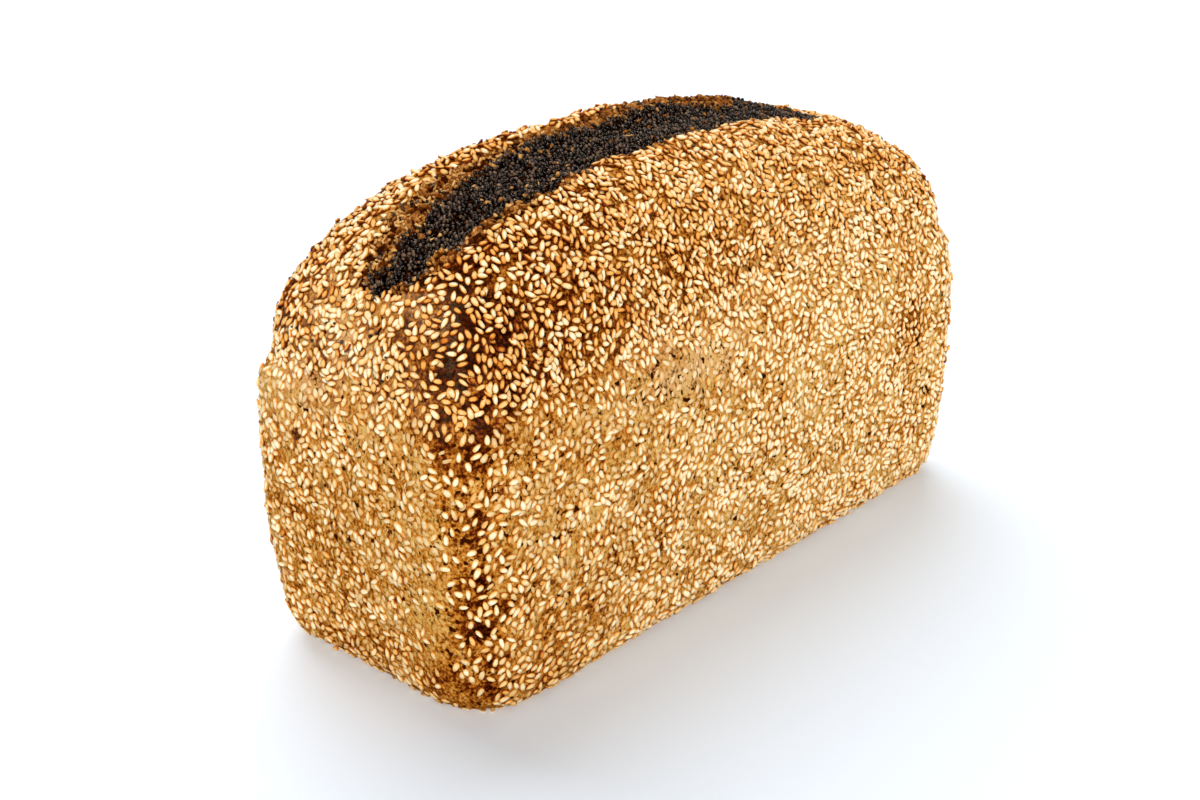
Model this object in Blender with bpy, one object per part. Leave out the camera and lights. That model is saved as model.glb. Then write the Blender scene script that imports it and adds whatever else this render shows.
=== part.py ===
"""A seeded multigrain tin loaf: one solid with its seeds fused on.

The tin gave the loaf its tall, slightly bulging walls. Above the tin's rim the dough
rose into a dome that is highest past the middle of its length and was cut once along
its length: a band of poppy seed lies in the opened cut, and the crust's torn lip stands
up beside it. Metres, +Z up, X along the loaf, origin at the middle of the base.
"""

import math
import random

import bpy
import bmesh
from mathutils import Matrix, Vector, noise

# Driving dimensions of the loaf
LENGTH = 0.227
WIDTH = 0.0922
RIM_HEIGHT = 0.086
CREST_RISE = 0.0435
WIDEST_HEIGHT = 0.057
CORNER_RADIUS = 0.0175
BASE_EDGE_RADIUS = 0.0080

# How far the walls draw in from the widest height to the rim and to the base
END_PULL_TOP = 0.0025
END_PULL_BASE = 0.0047
SIDE_PULL_TOP = 0.0049
SIDE_PULL_BASE = 0.0021

# The dome's profile, (1 - |share| ** power) ** (1 / root), for each way down from the crest
SHORT_END = (4.80, 1.39)
LONG_END = (1.42, 3.68)
CUT_SIDE = (2.60, 1.22)
BACK_SIDE = (3.60, 2.10)

# The crease where the dough rose over the tin's rim
RIM_CREASE_DEPTH = 0.0008
RIM_CREASE_WIDTH = 0.0030
RIM_ROLL = 0.0006
RIM_ROLL_DROP = 0.0075
RIM_ZONE = 2 * RIM_CREASE_WIDTH

# The opened cut: a poppy band in a shallow channel, and the torn lip beside it
BAND_MIDDLE_Y = -0.0015
BAND_SLANT = 0.035
BAND_HALF_WIDTH = 0.0105
BAND_START_X = -0.101
BAND_END_X = 0.082
BAND_DEPTH = 0.0014
BAND_EDGE_SHARE = 0.35
BAND_END_POWER = 8
BAND_SIDE_POWER = 4
LIP_Y = 0.0160
LIP_WIDTH = 0.0060
LIP_RISE = 0.0033
LIP_MIDDLE_X = 0.002
LIP_HALF_LENGTH = 0.0765
TILT_RISE = 0.0004
TILT_HALF_LENGTH = 0.095
RUN_OUT_POWER = 4

# Crust relief
CRAG_SIZE = 0.017
CRAG_DEPTH = 0.0008
CRAG_SHIFT = (0.274, 0.011, 0.018)
CRAG_FALL = 0.9
CRAG_STEP = 2.1
CRAG_LAYERS = 3
FLAT_BASE_HEIGHT = BASE_EDGE_RADIUS / 3
RIM_DRIFT = 0.0012
RIM_DRIFT_SIZE = 0.045
RIM_DRIFT_REACH = 0.016
POPPY_LUMP_SIZE = 0.0055
POPPY_LUMP_DEPTH = 0.0007

# Faces of the loaf's surface
STEPS_ALONG = 30
STEPS_ACROSS = 22
EDGE_STEPS = 2
WALL_STEPS = 7
BORDER_CROWDING = 0.5

# Seeds large enough to stand out of the crust
SEED_COUNT = 225
SEED_LENGTH = 0.0033
SEED_WIDTH = 0.0021
SEED_THICKNESS = 0.0014
SEED_SIDES = 5
SEED_RINGS = ((0.26, 1.0), (0.66, 0.78))
SEED_SPREAD = 0.0148
SEED_TRIES = 60000
SEED_LIFT = 0.00015
SEED_TILT = math.radians(16)
SEED_SIZE_RANGE = (0.92, 1.10)
SEED_LOWEST = 0.0045
BAND_MARGIN = 0.0020
RANDOM_SEED = 23

# Clean-up of the fused surface
MERGE_DISTANCE = 0.00001
MIN_LOOSE_FACES = 200

# The baked crust's finish
CRUST_COLOUR = (0.46, 0.24, 0.075, 1.0)
CRUST_ROUGHNESS = 0.72
SMOOTH_BELOW = math.radians(40)


def clear_scene():
    """Remove whatever the scene holds."""
    for old in list(bpy.data.objects):
        bpy.data.objects.remove(old, do_unlink=True)


def crust_material():
    """The baked crust's golden brown."""
    material = bpy.data.materials.new("seeded_crust")
    material.use_nodes = True
    shader = material.node_tree.nodes["Principled BSDF"]
    shader.inputs["Base Color"].default_value = CRUST_COLOUR
    shader.inputs["Roughness"].default_value = CRUST_ROUGHNESS
    shader.inputs["Metallic"].default_value = 0.0
    return material


def wall_inset(height, pull_top, pull_base):
    """How far the wall stands inside its widest outline at a height."""
    if height > WIDEST_HEIGHT:
        inset = pull_top * ((height - WIDEST_HEIGHT) / (RIM_HEIGHT - WIDEST_HEIGHT)) ** 2
    else:
        inset = pull_base * ((WIDEST_HEIGHT - height) / WIDEST_HEIGHT) ** 2
    crease = RIM_CREASE_DEPTH * math.exp(-((height - RIM_HEIGHT) / RIM_CREASE_WIDTH) ** 2)
    roll = RIM_ROLL * math.exp(-((height - RIM_HEIGHT + RIM_ROLL_DROP) / RIM_CREASE_WIDTH) ** 2)
    return inset + crease - roll


def border_point(half_run, share):
    """Place along a rounded side from mid corner to mid corner, and how far it turns in."""
    straight = half_run - CORNER_RADIUS
    reach = abs(share) * (straight + CORNER_RADIUS * math.pi / 4)
    if reach <= straight:
        return math.copysign(reach, share), 0.0
    turn = (reach - straight) / CORNER_RADIUS
    along = straight + CORNER_RADIUS * math.sin(turn)
    return math.copysign(along, share), CORNER_RADIUS * (1 - math.cos(turn))


def crowded_shares(steps):
    """Shares from -1 to 1, closer together towards the borders."""
    shares = []
    for step in range(steps + 1):
        even = 2 * step / steps - 1
        shares.append((1 - BORDER_CROWDING) * even + BORDER_CROWDING * math.sin(even * math.pi / 2))
    return shares


def patch_point(half_length, half_width, share_x, share_y):
    """A point in plan inside the rounded outline, drawn in where its sides turn the corners."""
    x_run, x_turn = border_point(half_length, share_x)
    y_run, y_turn = border_point(half_width, share_y)
    corner_turn = CORNER_RADIUS * (1 - math.sqrt(0.5))
    x = x_run + share_x * (corner_turn - y_turn)
    y = y_run + share_y * (corner_turn - x_turn)
    return x, y


def profile(share, low, high):
    """Height share of the dome at a share from -1 to 1, with a shape for each way down."""
    power, root = low if share < 0 else high
    return max(0.0, 1 - abs(share) ** power) ** (1 / root)


def smooth_step(low, high, value):
    """0 below low, 1 above high, smooth between."""
    t = min(1.0, max(0.0, (value - low) / (high - low)))
    return t * t * (3 - 2 * t)


def band_share(x, y):
    """1 at the middle of the poppy band, 0 at its border, negative outside it."""
    across = (y - BAND_MIDDLE_Y - BAND_SLANT * x) / BAND_HALF_WIDTH
    half_length = (BAND_END_X - BAND_START_X) / 2
    along = (x - (BAND_END_X + BAND_START_X) / 2) / half_length
    return 1 - (abs(along) ** BAND_END_POWER + abs(across) ** BAND_SIDE_POWER) ** (1 / BAND_SIDE_POWER)


def dome_height(x, y, share_x, share_y):
    """Height of the risen top over a point in plan."""
    rise = CREST_RISE * profile(share_x, SHORT_END, LONG_END) * profile(share_y, CUT_SIDE, BACK_SIDE)
    lip_along = max(0.0, 1 - abs((x - LIP_MIDDLE_X) / LIP_HALF_LENGTH) ** RUN_OUT_POWER)
    lip = LIP_RISE * math.exp(-((y - LIP_Y) / LIP_WIDTH) ** 2) * lip_along
    tilt_along = max(0.0, 1 - abs(x / TILT_HALF_LENGTH) ** RUN_OUT_POWER)
    tilt = TILT_RISE * min(1.0, max(-1.0, y / BAND_HALF_WIDTH)) * tilt_along
    channel = BAND_DEPTH * smooth_step(0.0, BAND_EDGE_SHARE, band_share(x, y))
    return RIM_HEIGHT + rise + lip + tilt - channel


def section_rows():
    """(height, extra inset) of each ring from the base's flat up to the rim."""
    rows = []
    for step in range(EDGE_STEPS + 1):
        turn = math.pi / 2 * (1 - step / EDGE_STEPS)
        rows.append((BASE_EDGE_RADIUS * (1 - math.sin(turn)), BASE_EDGE_RADIUS * (1 - math.cos(turn))))
    top_of_plain = RIM_HEIGHT - RIM_ZONE
    for step in range(1, WALL_STEPS + 1):
        share = step / WALL_STEPS
        rows.append((BASE_EDGE_RADIUS + share * (top_of_plain - BASE_EDGE_RADIUS), 0.0))
    rows.append((RIM_HEIGHT - RIM_CREASE_WIDTH, 0.0))
    rows.append((RIM_HEIGHT, 0.0))
    return rows


def ring_shares(shares_x, shares_y):
    """(share_x, share_y) round the outline, once round from the near short-end corner."""
    near = [(share, -1.0) for share in shares_x[:-1]]
    right = [(1.0, share) for share in shares_y[:-1]]
    far = [(share, 1.0) for share in reversed(shares_x[1:])]
    left = [(-1.0, share) for share in reversed(shares_y[1:])]
    return near + right + far + left


def crag(point, size):
    """Uneven relief between about -1 and 1."""
    place = (point + Vector(CRAG_SHIFT)) / size
    return noise.fractal(place, CRAG_FALL, CRAG_STEP, CRAG_LAYERS, noise_basis="PERLIN_ORIGINAL")


def build_core():
    """The loaf's own surface: a flat base, ringed walls and a dome laid on a grid."""
    shares_x = crowded_shares(STEPS_ALONG)
    shares_y = crowded_shares(STEPS_ACROSS)
    border = ring_shares(shares_x, shares_y)
    mesh = bmesh.new()
    rings = []
    for height, extra in section_rows():
        half_length = LENGTH / 2 - wall_inset(height, END_PULL_TOP, END_PULL_BASE) - extra
        half_width = WIDTH / 2 - wall_inset(height, SIDE_PULL_TOP, SIDE_PULL_BASE) - extra
        ring = []
        for share_x, share_y in border:
            x, y = patch_point(half_length, half_width, share_x, share_y)
            ring.append(mesh.verts.new((x, y, height)))
        rings.append(ring)
    for lower, upper in zip(rings, rings[1:]):
        for i in range(len(lower)):
            j = (i + 1) % len(lower)
            mesh.faces.new((lower[i], lower[j], upper[j], upper[i]))
    mesh.faces.new(list(reversed(rings[0])))
    rim = {shares: vertex for shares, vertex in zip(border, rings[-1])}
    grid = {}
    for share_x in shares_x:
        for share_y in shares_y:
            if (share_x, share_y) in rim:
                grid[share_x, share_y] = rim[share_x, share_y]
                continue
            x, y = patch_point(half_length, half_width, share_x, share_y)
            grid[share_x, share_y] = mesh.verts.new((x, y, dome_height(x, y, share_x, share_y)))
    for x_low, x_high in zip(shares_x, shares_x[1:]):
        for y_low, y_high in zip(shares_y, shares_y[1:]):
            corners = ((x_low, y_low), (x_high, y_low), (x_high, y_high), (x_low, y_high))
            mesh.faces.new([grid[corner] for corner in corners])
    roughen(mesh)
    bmesh.ops.triangulate(mesh, faces=mesh.faces, quad_method="SHORT_EDGE")
    bmesh.ops.recalc_face_normals(mesh, faces=mesh.faces)
    return mesh


def roughen(mesh):
    """Push the crust in and out along its own normals, leaving the flat base alone."""
    mesh.normal_update()
    moves = []
    for vertex in mesh.verts:
        point = vertex.co
        if point.z < FLAT_BASE_HEIGHT:
            continue
        depth = CRAG_DEPTH * crag(point, CRAG_SIZE)
        if point.z > RIM_HEIGHT and band_share(point.x, point.y) > 0:
            depth += POPPY_LUMP_DEPTH * crag(point, POPPY_LUMP_SIZE)
        near_rim = math.exp(-((point.z - RIM_HEIGHT) / RIM_DRIFT_REACH) ** 2)
        drift = RIM_DRIFT * near_rim * crag(Vector((point.x, point.y, 0)), RIM_DRIFT_SIZE)
        moves.append((vertex, vertex.normal * depth + Vector((0, 0, drift))))
    for vertex, move in moves:
        vertex.co += move


def spread_points(mesh):
    """Evenly spread (point, normal) pairs on the crust, clear of the base and the poppy band."""
    draw = random.Random(RANDOM_SEED)
    faces = list(mesh.faces)
    areas = [face.calc_area() for face in faces]
    picked = []
    for face in draw.choices(faces, weights=areas, k=SEED_TRIES):
        a, b, c = (vertex.co for vertex in face.verts)
        u, v = draw.random(), draw.random()
        if u + v > 1:
            u, v = 1 - u, 1 - v
        point = a + (b - a) * u + (c - a) * v
        if point.z < SEED_LOWEST:
            continue
        near_band = band_share(point.x, point.y) > -BAND_MARGIN / BAND_HALF_WIDTH
        if point.z > RIM_HEIGHT and near_band:
            continue
        if all((point - other).length > SEED_SPREAD for other, _ in picked):
            picked.append((point, face.normal.copy()))
        if len(picked) == SEED_COUNT:
            break
    return picked


def seed_mesh():
    """One flat teardrop seed along X, pointed at its +X end."""
    mesh = bmesh.new()
    blunt = mesh.verts.new((-SEED_LENGTH / 2, 0, 0))
    tip = mesh.verts.new((SEED_LENGTH / 2, 0, 0))
    rings = []
    for along, girth in SEED_RINGS:
        ring = []
        for side in range(SEED_SIDES):
            angle = 2 * math.pi * side / SEED_SIDES
            y = SEED_WIDTH / 2 * girth * math.cos(angle)
            z = SEED_THICKNESS / 2 * girth * math.sin(angle)
            ring.append(mesh.verts.new((SEED_LENGTH * (along - 0.5), y, z)))
        rings.append(ring)
    for side in range(SEED_SIDES):
        following = (side + 1) % SEED_SIDES
        mesh.faces.new((blunt, rings[0][following], rings[0][side]))
        mesh.faces.new((rings[0][side], rings[0][following], rings[1][following], rings[1][side]))
        mesh.faces.new((rings[1][side], rings[1][following], tip))
    bmesh.ops.recalc_face_normals(mesh, faces=mesh.faces)
    data = bpy.data.meshes.new("seed")
    mesh.to_mesh(data)
    mesh.free()
    return data


def scatter_seeds(places):
    """A collection of seeds lying on the crust, each turned and tilted its own way."""
    draw = random.Random(RANDOM_SEED + 1)
    shape = seed_mesh()
    holder = bpy.data.collections.new("seeds")
    bpy.context.scene.collection.children.link(holder)
    for point, normal in places:
        turn = Matrix.Rotation(draw.uniform(0, 2 * math.pi), 4, "Z")
        tilt = Matrix.Rotation(draw.uniform(-SEED_TILT, SEED_TILT), 4, "Y")
        size = Matrix.Scale(draw.uniform(*SEED_SIZE_RANGE), 4)
        stand = normal.to_track_quat("Z", "Y").to_matrix().to_4x4()
        place = Matrix.Translation(point + normal * SEED_LIFT)
        seed = bpy.data.objects.new("seed", shape)
        seed.matrix_world = place @ stand @ turn @ tilt @ size
        holder.objects.link(seed)
    return holder


def fuse(loaf, holder):
    """Join the seeds to the loaf with one Boolean union, apply it and drop the loose seeds."""
    union = loaf.modifiers.new("seeds", "BOOLEAN")
    union.operation = "UNION"
    union.operand_type = "COLLECTION"
    union.collection = holder
    union.solver = "EXACT"
    bpy.context.view_layer.update()
    evaluated = loaf.evaluated_get(bpy.context.evaluated_depsgraph_get())
    fused = bpy.data.meshes.new_from_object(evaluated)
    loaf.modifiers.remove(union)
    loaf.data = fused
    for seed in list(holder.objects):
        bpy.data.objects.remove(seed, do_unlink=True)
    bpy.data.collections.remove(holder)


def tidy_surface(loaf):
    """Merge slivers, keep the one outer shell and leave clean triangles."""
    mesh = bmesh.new()
    mesh.from_mesh(loaf.data)
    bmesh.ops.remove_doubles(mesh, verts=mesh.verts, dist=MERGE_DISTANCE)
    bmesh.ops.triangulate(mesh, faces=mesh.faces)
    drop_scraps(mesh)
    centre_in_plan(mesh)
    mesh.to_mesh(loaf.data)
    mesh.free()


def centre_in_plan(mesh):
    """Slide the surface so that its box is centred over the origin."""
    x_places = [vertex.co.x for vertex in mesh.verts]
    y_places = [vertex.co.y for vertex in mesh.verts]
    middle = Vector((min(x_places) + max(x_places), min(y_places) + max(y_places), 0)) / 2
    bmesh.ops.translate(mesh, verts=mesh.verts, vec=-middle)


def drop_scraps(mesh):
    """Delete every closed piece with only a few faces: sealed hollows and loose bits."""
    waiting = set(mesh.faces)
    scraps = []
    while waiting:
        island = [waiting.pop()]
        for face in island:
            for edge in face.edges:
                for other in edge.link_faces:
                    if other in waiting:
                        waiting.remove(other)
                        island.append(other)
        if len(island) < MIN_LOOSE_FACES:
            scraps += island
    bmesh.ops.delete(mesh, geom=scraps, context="FACES")


def build_loaf():
    """The whole loaf as one object."""
    core = build_core()
    places = spread_points(core)
    data = bpy.data.meshes.new("loaf")
    core.to_mesh(data)
    core.free()
    loaf = bpy.data.objects.new("loaf", data)
    bpy.context.scene.collection.objects.link(loaf)
    fuse(loaf, scatter_seeds(places))
    tidy_surface(loaf)
    loaf.data.materials.clear()
    loaf.data.materials.append(crust_material())
    loaf.data.shade_smooth()
    loaf.data.set_sharp_from_angle(angle=SMOOTH_BELOW)
    return loaf


clear_scene()
build_loaf()
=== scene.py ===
"""Looks of a seeded multigrain tin loaf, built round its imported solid.

The crust is one closed surface on the solid's own formula. Sesame seeds lie all over it, poppy
seeds fill the opened cut along the top, and crumbs and threads of torn dough stand beside them.
+Z is up and X runs along the loaf. Sizes are metres, but the rows of patches(), line() and
crack() are millimetres.
"""

import logging
import math
from dataclasses import dataclass, field
from enum import Enum
from typing import Callable, Sequence

import bpy
import numpy as np
from mathutils import Matrix, Vector, kdtree, noise


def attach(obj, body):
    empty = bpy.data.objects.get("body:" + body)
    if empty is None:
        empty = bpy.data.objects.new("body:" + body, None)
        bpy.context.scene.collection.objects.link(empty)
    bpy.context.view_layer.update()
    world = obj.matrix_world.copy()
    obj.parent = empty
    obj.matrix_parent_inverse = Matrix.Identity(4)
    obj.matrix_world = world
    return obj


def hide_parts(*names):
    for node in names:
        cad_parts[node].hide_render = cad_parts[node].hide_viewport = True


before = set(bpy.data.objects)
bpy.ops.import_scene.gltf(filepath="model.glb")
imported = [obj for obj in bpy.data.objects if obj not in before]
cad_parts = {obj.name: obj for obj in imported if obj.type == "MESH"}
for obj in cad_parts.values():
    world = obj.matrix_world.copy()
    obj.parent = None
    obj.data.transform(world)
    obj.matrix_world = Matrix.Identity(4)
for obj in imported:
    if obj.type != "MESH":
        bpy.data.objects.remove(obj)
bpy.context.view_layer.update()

LOG = logging.getLogger("loaf")
FLOOR_GAP = 0.00003
BODY = "root"
LOAF_NODE = "loaf"
NOISE_ROUGHNESS = 0.9
NOISE_STEP = 2.1
WHITE = (1.0, 1.0, 1.0, 1.0)

Points = np.ndarray
Row = tuple[float, ...]
Line = tuple[Row, ...]
Colour = tuple[float, float, float, float]
Piece = bpy.types.Object
Socket = bpy.types.NodeSocket


def smooth_step(low: float, high: float, value: Points) -> Points:
    """Ease from 0 at low to 1 at high."""
    t = np.clip((value - low) / (high - low), 0.0, 1.0)
    return t * t * (3.0 - 2.0 * t)


def part_way(low: float | Points, high: float | Points, share: Points) -> Points:
    """Go from low to high by a share."""
    return low + (high - low) * share


def bell(away: Points, reach: float) -> Points:
    """1 at no distance, falling softly to 0 beyond the reach."""
    return np.exp(-((away / reach) ** 2))


def unit(vectors: Points) -> Points:
    """Scale rows of vectors to length one."""
    return vectors / np.maximum(np.linalg.norm(vectors, axis=1, keepdims=True), 1e-12)


def metres(*millimetres: float) -> Row:
    """Turn millimetres into metres."""
    return tuple(round(value / 1000, 7) for value in millimetres)


def line(*rows: Row) -> Line:
    """Draw a line along the loaf from x and y places in millimetres."""
    return tuple(metres(*row) for row in rows)


@dataclass(frozen=True)
class Cloud:
    """Rounded, uneven noise over the loaf.

    Attributes:
        gain: How far it goes up and down.
        size: Width of one lump.
        octaves: How many finer layers are added.
        shift: Where in the noise the loaf lies.
        level: The value that it goes up and down about.
    """

    gain: float
    size: float
    octaves: int = 3
    shift: Row = (0, 0, 0)
    level: float = 0.0

    def at(self, points: Points) -> Points:
        """Read the noise.

        Args:
            points: Rows of places.

        Returns:
            One value a place.
        """
        places = (points + np.array(self.shift)) / self.size
        settings = (NOISE_ROUGHNESS, NOISE_STEP, self.octaves)
        read = [noise.fractal(Vector(p), *settings, noise_basis="PERLIN_ORIGINAL") for p in places]
        return self.level + self.gain * np.array(read)


@dataclass(frozen=True)
class Patch:
    """A soft-edged area of the crust: its middle, its half sizes and its value at the middle."""

    middle: Row
    reach: Row
    strength: float

    def at(self, points: Points) -> Points:
        """Read the patch at rows of places."""
        away = (points - np.array(self.middle)) / np.array(self.reach)
        return self.strength * np.exp(-np.sum(away**2, axis=1))


@dataclass(frozen=True)
class Crack:
    """A short, narrow crack in the crust, from its start to its end."""

    start: Row
    end: Row
    width: float = 0.0009

    def at(self, points: Points) -> Points:
        """Read the crack.

        Args:
            points: Rows of places.

        Returns:
            1 in the crack to 0 beside it.
        """
        run = np.array(self.end) - np.array(self.start)
        share = np.clip((points - np.array(self.start)) @ run / (run @ run), 0.0, 1.0)
        away = points - (np.array(self.start) + share[:, None] * run)
        return np.exp(-np.sum(away**2, axis=1) / self.width**2)


def patches(*rows: Row) -> tuple[Patch, ...]:
    """Make patches from middle x, y, z and reach x, y, z in millimetres, then strength."""
    return tuple(Patch(metres(*row[:3]), metres(*row[3:6]), row[6]) for row in rows)


def crack(*ends: float) -> Crack:
    """Make a crack from the x, y, z of its start and of its end in millimetres."""
    return Crack(metres(*ends[:3]), metres(*ends[3:]))


def total(parts: Sequence[Cloud | Patch | Crack], points: Points) -> Points:
    """Add up what several parts say at rows of places."""
    return sum(part.at(points) for part in parts)


@dataclass(frozen=True)
class LoafForm:
    """The loaf's outer form, worked out from the same named sizes as its solid."""

    length: float = 0.227
    width: float = 0.0922
    rim_height: float = 0.086
    crest_rise: float = 0.0435
    widest_height: float = 0.057
    corner_radius: float = 0.0175
    base_edge_radius: float = 0.0080
    end_pull: Row = (0.0025, 0.0047)
    side_pull: Row = (0.0049, 0.0021)
    short_end: Row = (4.80, 1.39)
    long_end: Row = (1.42, 3.68)
    cut_side: Row = (2.60, 1.22)
    back_side: Row = (3.60, 2.10)
    rim_crease_depth: float = 0.0008
    rim_crease_width: float = 0.0030
    rim_roll: float = 0.0006
    rim_roll_drop: float = 0.0075
    band_middle_y: float = -0.0015
    band_slant: float = 0.035
    band_half_width: float = 0.0105
    band_start_x: float = -0.101
    band_end_x: float = 0.082
    band_depth: float = 0.0014
    band_edge: float = 0.35
    lip_y: float = 0.0160
    lip_width: float = 0.0060
    lip_rise: float = 0.0033
    lip_middle_x: float = 0.002
    lip_half_length: float = 0.0765
    tilt_rise: float = 0.0004
    tilt_half_length: float = 0.095
    crags: Cloud = Cloud(0.0008, 0.017, 3, (0.274, 0.011, 0.018))
    rim_drift: float = 0.0012
    rim_drift_reach: float = 0.016
    drifting: Cloud = Cloud(1.0, 0.045, 3, (0.274, 0.011, 0.018))

    def wall_inset(self, height: Points, pull: Row) -> Points:
        """How far the wall stands inside its widest outline.

        Args:
            height: Heights above the base.
            pull: Inset at the rim and at the base.

        Returns:
            The inset at each height.
        """
        above = pull[0] * ((height - self.widest_height) / (self.rim_height - self.widest_height)) ** 2
        below = pull[1] * ((self.widest_height - height) / self.widest_height) ** 2
        inset = np.where(height > self.widest_height, above, below)
        crease = bell(height - self.rim_height, self.rim_crease_width)
        roll = bell(height - self.rim_height + self.rim_roll_drop, self.rim_crease_width)
        return inset + self.rim_crease_depth * crease - self.rim_roll * roll

    def border_point(self, half_run: Points, share: Points) -> tuple[Points, Points]:
        """Walk a rounded side from mid corner to mid corner.

        Args:
            half_run: Half the side's full length.
            share: Place along it from -1 to 1.

        Returns:
            The place along the side, and how far the corner turns in there.
        """
        straight = half_run - self.corner_radius
        reach = np.abs(share) * (straight + self.corner_radius * math.pi / 4)
        turn = np.maximum(0.0, (reach - straight) / self.corner_radius)
        along = np.minimum(reach, straight) + self.corner_radius * np.sin(turn)
        return np.sign(share) * along, self.corner_radius * (1 - np.cos(turn))

    def outline(
        self, height: Points, share_x: Points, share_y: Points, extra: float = 0.0
    ) -> tuple[Points, Points]:
        """Place shares inside the rounded outline at a height.

        Args:
            height: Heights above the base.
            share_x: Shares along X from -1 to 1.
            share_y: Shares along Y from -1 to 1.
            extra: Further inset, where the base's edge is rounded.

        Returns:
            The x and y places.
        """
        half_length = self.length / 2 - self.wall_inset(height, self.end_pull) - extra
        half_width = self.width / 2 - self.wall_inset(height, self.side_pull) - extra
        x_run, x_turn = self.border_point(half_length, share_x)
        y_run, y_turn = self.border_point(half_width, share_y)
        corner_turn = self.corner_radius * (1 - math.sqrt(0.5))
        return x_run + share_x * (corner_turn - y_turn), y_run + share_y * (corner_turn - x_turn)

    @staticmethod
    def profile(share: Points, low: Row, high: Row) -> Points:
        """The dome's height share at -1 to 1, from a power and a root on each side of 0."""
        down, up = (np.clip(1 - np.abs(share) ** power, 0, 1) ** (1 / root) for power, root in (low, high))
        return np.where(share < 0, down, up)

    def band_share(self, x: Points, y: Points) -> Points:
        """Read the opened cut's channel.

        Args:
            x: Places along the loaf.
            y: Places across it.

        Returns:
            1 along the channel's middle, 0 at its border, negative outside.
        """
        across = (y - self.band_middle_y - self.band_slant * x) / self.band_half_width
        half_length = (self.band_end_x - self.band_start_x) / 2
        along = (x - (self.band_end_x + self.band_start_x) / 2) / half_length
        return 1 - (np.abs(along) ** 8 + np.abs(across) ** 4) ** 0.25

    def dome_height(self, x: Points, y: Points, share_x: Points, share_y: Points) -> Points:
        """Height of the risen top.

        Args:
            x: Places along the loaf.
            y: Places across it.
            share_x: The same places as shares of the outline.
            share_y: The same places as shares of the outline.

        Returns:
            The height of each place.
        """
        along = self.profile(share_x, self.short_end, self.long_end)
        rise = self.crest_rise * along * self.profile(share_y, self.cut_side, self.back_side)
        lip_along = np.clip(1 - np.abs((x - self.lip_middle_x) / self.lip_half_length) ** 4, 0, 1)
        lip = self.lip_rise * bell(y - self.lip_y, self.lip_width) * lip_along
        tilt_along = np.clip(1 - (x / self.tilt_half_length) ** 4, 0, 1)
        tilt = self.tilt_rise * np.clip(y / self.band_half_width, -1, 1) * tilt_along
        channel = self.band_depth * smooth_step(0.0, self.band_edge, self.band_share(x, y))
        return self.rim_height + rise + lip + tilt - channel

    def relief(self, points: Points, normals: Points) -> Points:
        """The solid's own uneven relief.

        Args:
            points: Places on the smooth form.
            normals: The form's normals there.

        Returns:
            How far each place moves.
        """
        depth = self.crags.at(points)
        near_rim = bell(points[:, 2] - self.rim_height, self.rim_drift_reach)
        drift = self.rim_drift * near_rim * self.drifting.at(points * np.array((1, 1, 0)))
        return normals * depth[:, None] + np.array((0, 0, 1)) * drift[:, None]


def side_of(border: Line, points: Points) -> Points:
    """Metres by which places lie towards +Y of a line drawn along the loaf."""
    return points[:, 1] - np.interp(points[:, 0], *zip(*border))


def between(near: Line, far: Line, points: Points) -> Points:
    """How deep places lie between two lines, and between their ends.

    Args:
        near: The line towards -Y.
        far: The line towards +Y.
        points: Rows of places.

    Returns:
        Metres inside the nearest border, negative outside.
    """
    across = np.minimum(side_of(near, points), -side_of(far, points))
    ends = np.minimum(points[:, 0] - near[0][0], near[-1][0] - points[:, 0])
    return np.minimum(across, ends)


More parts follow.
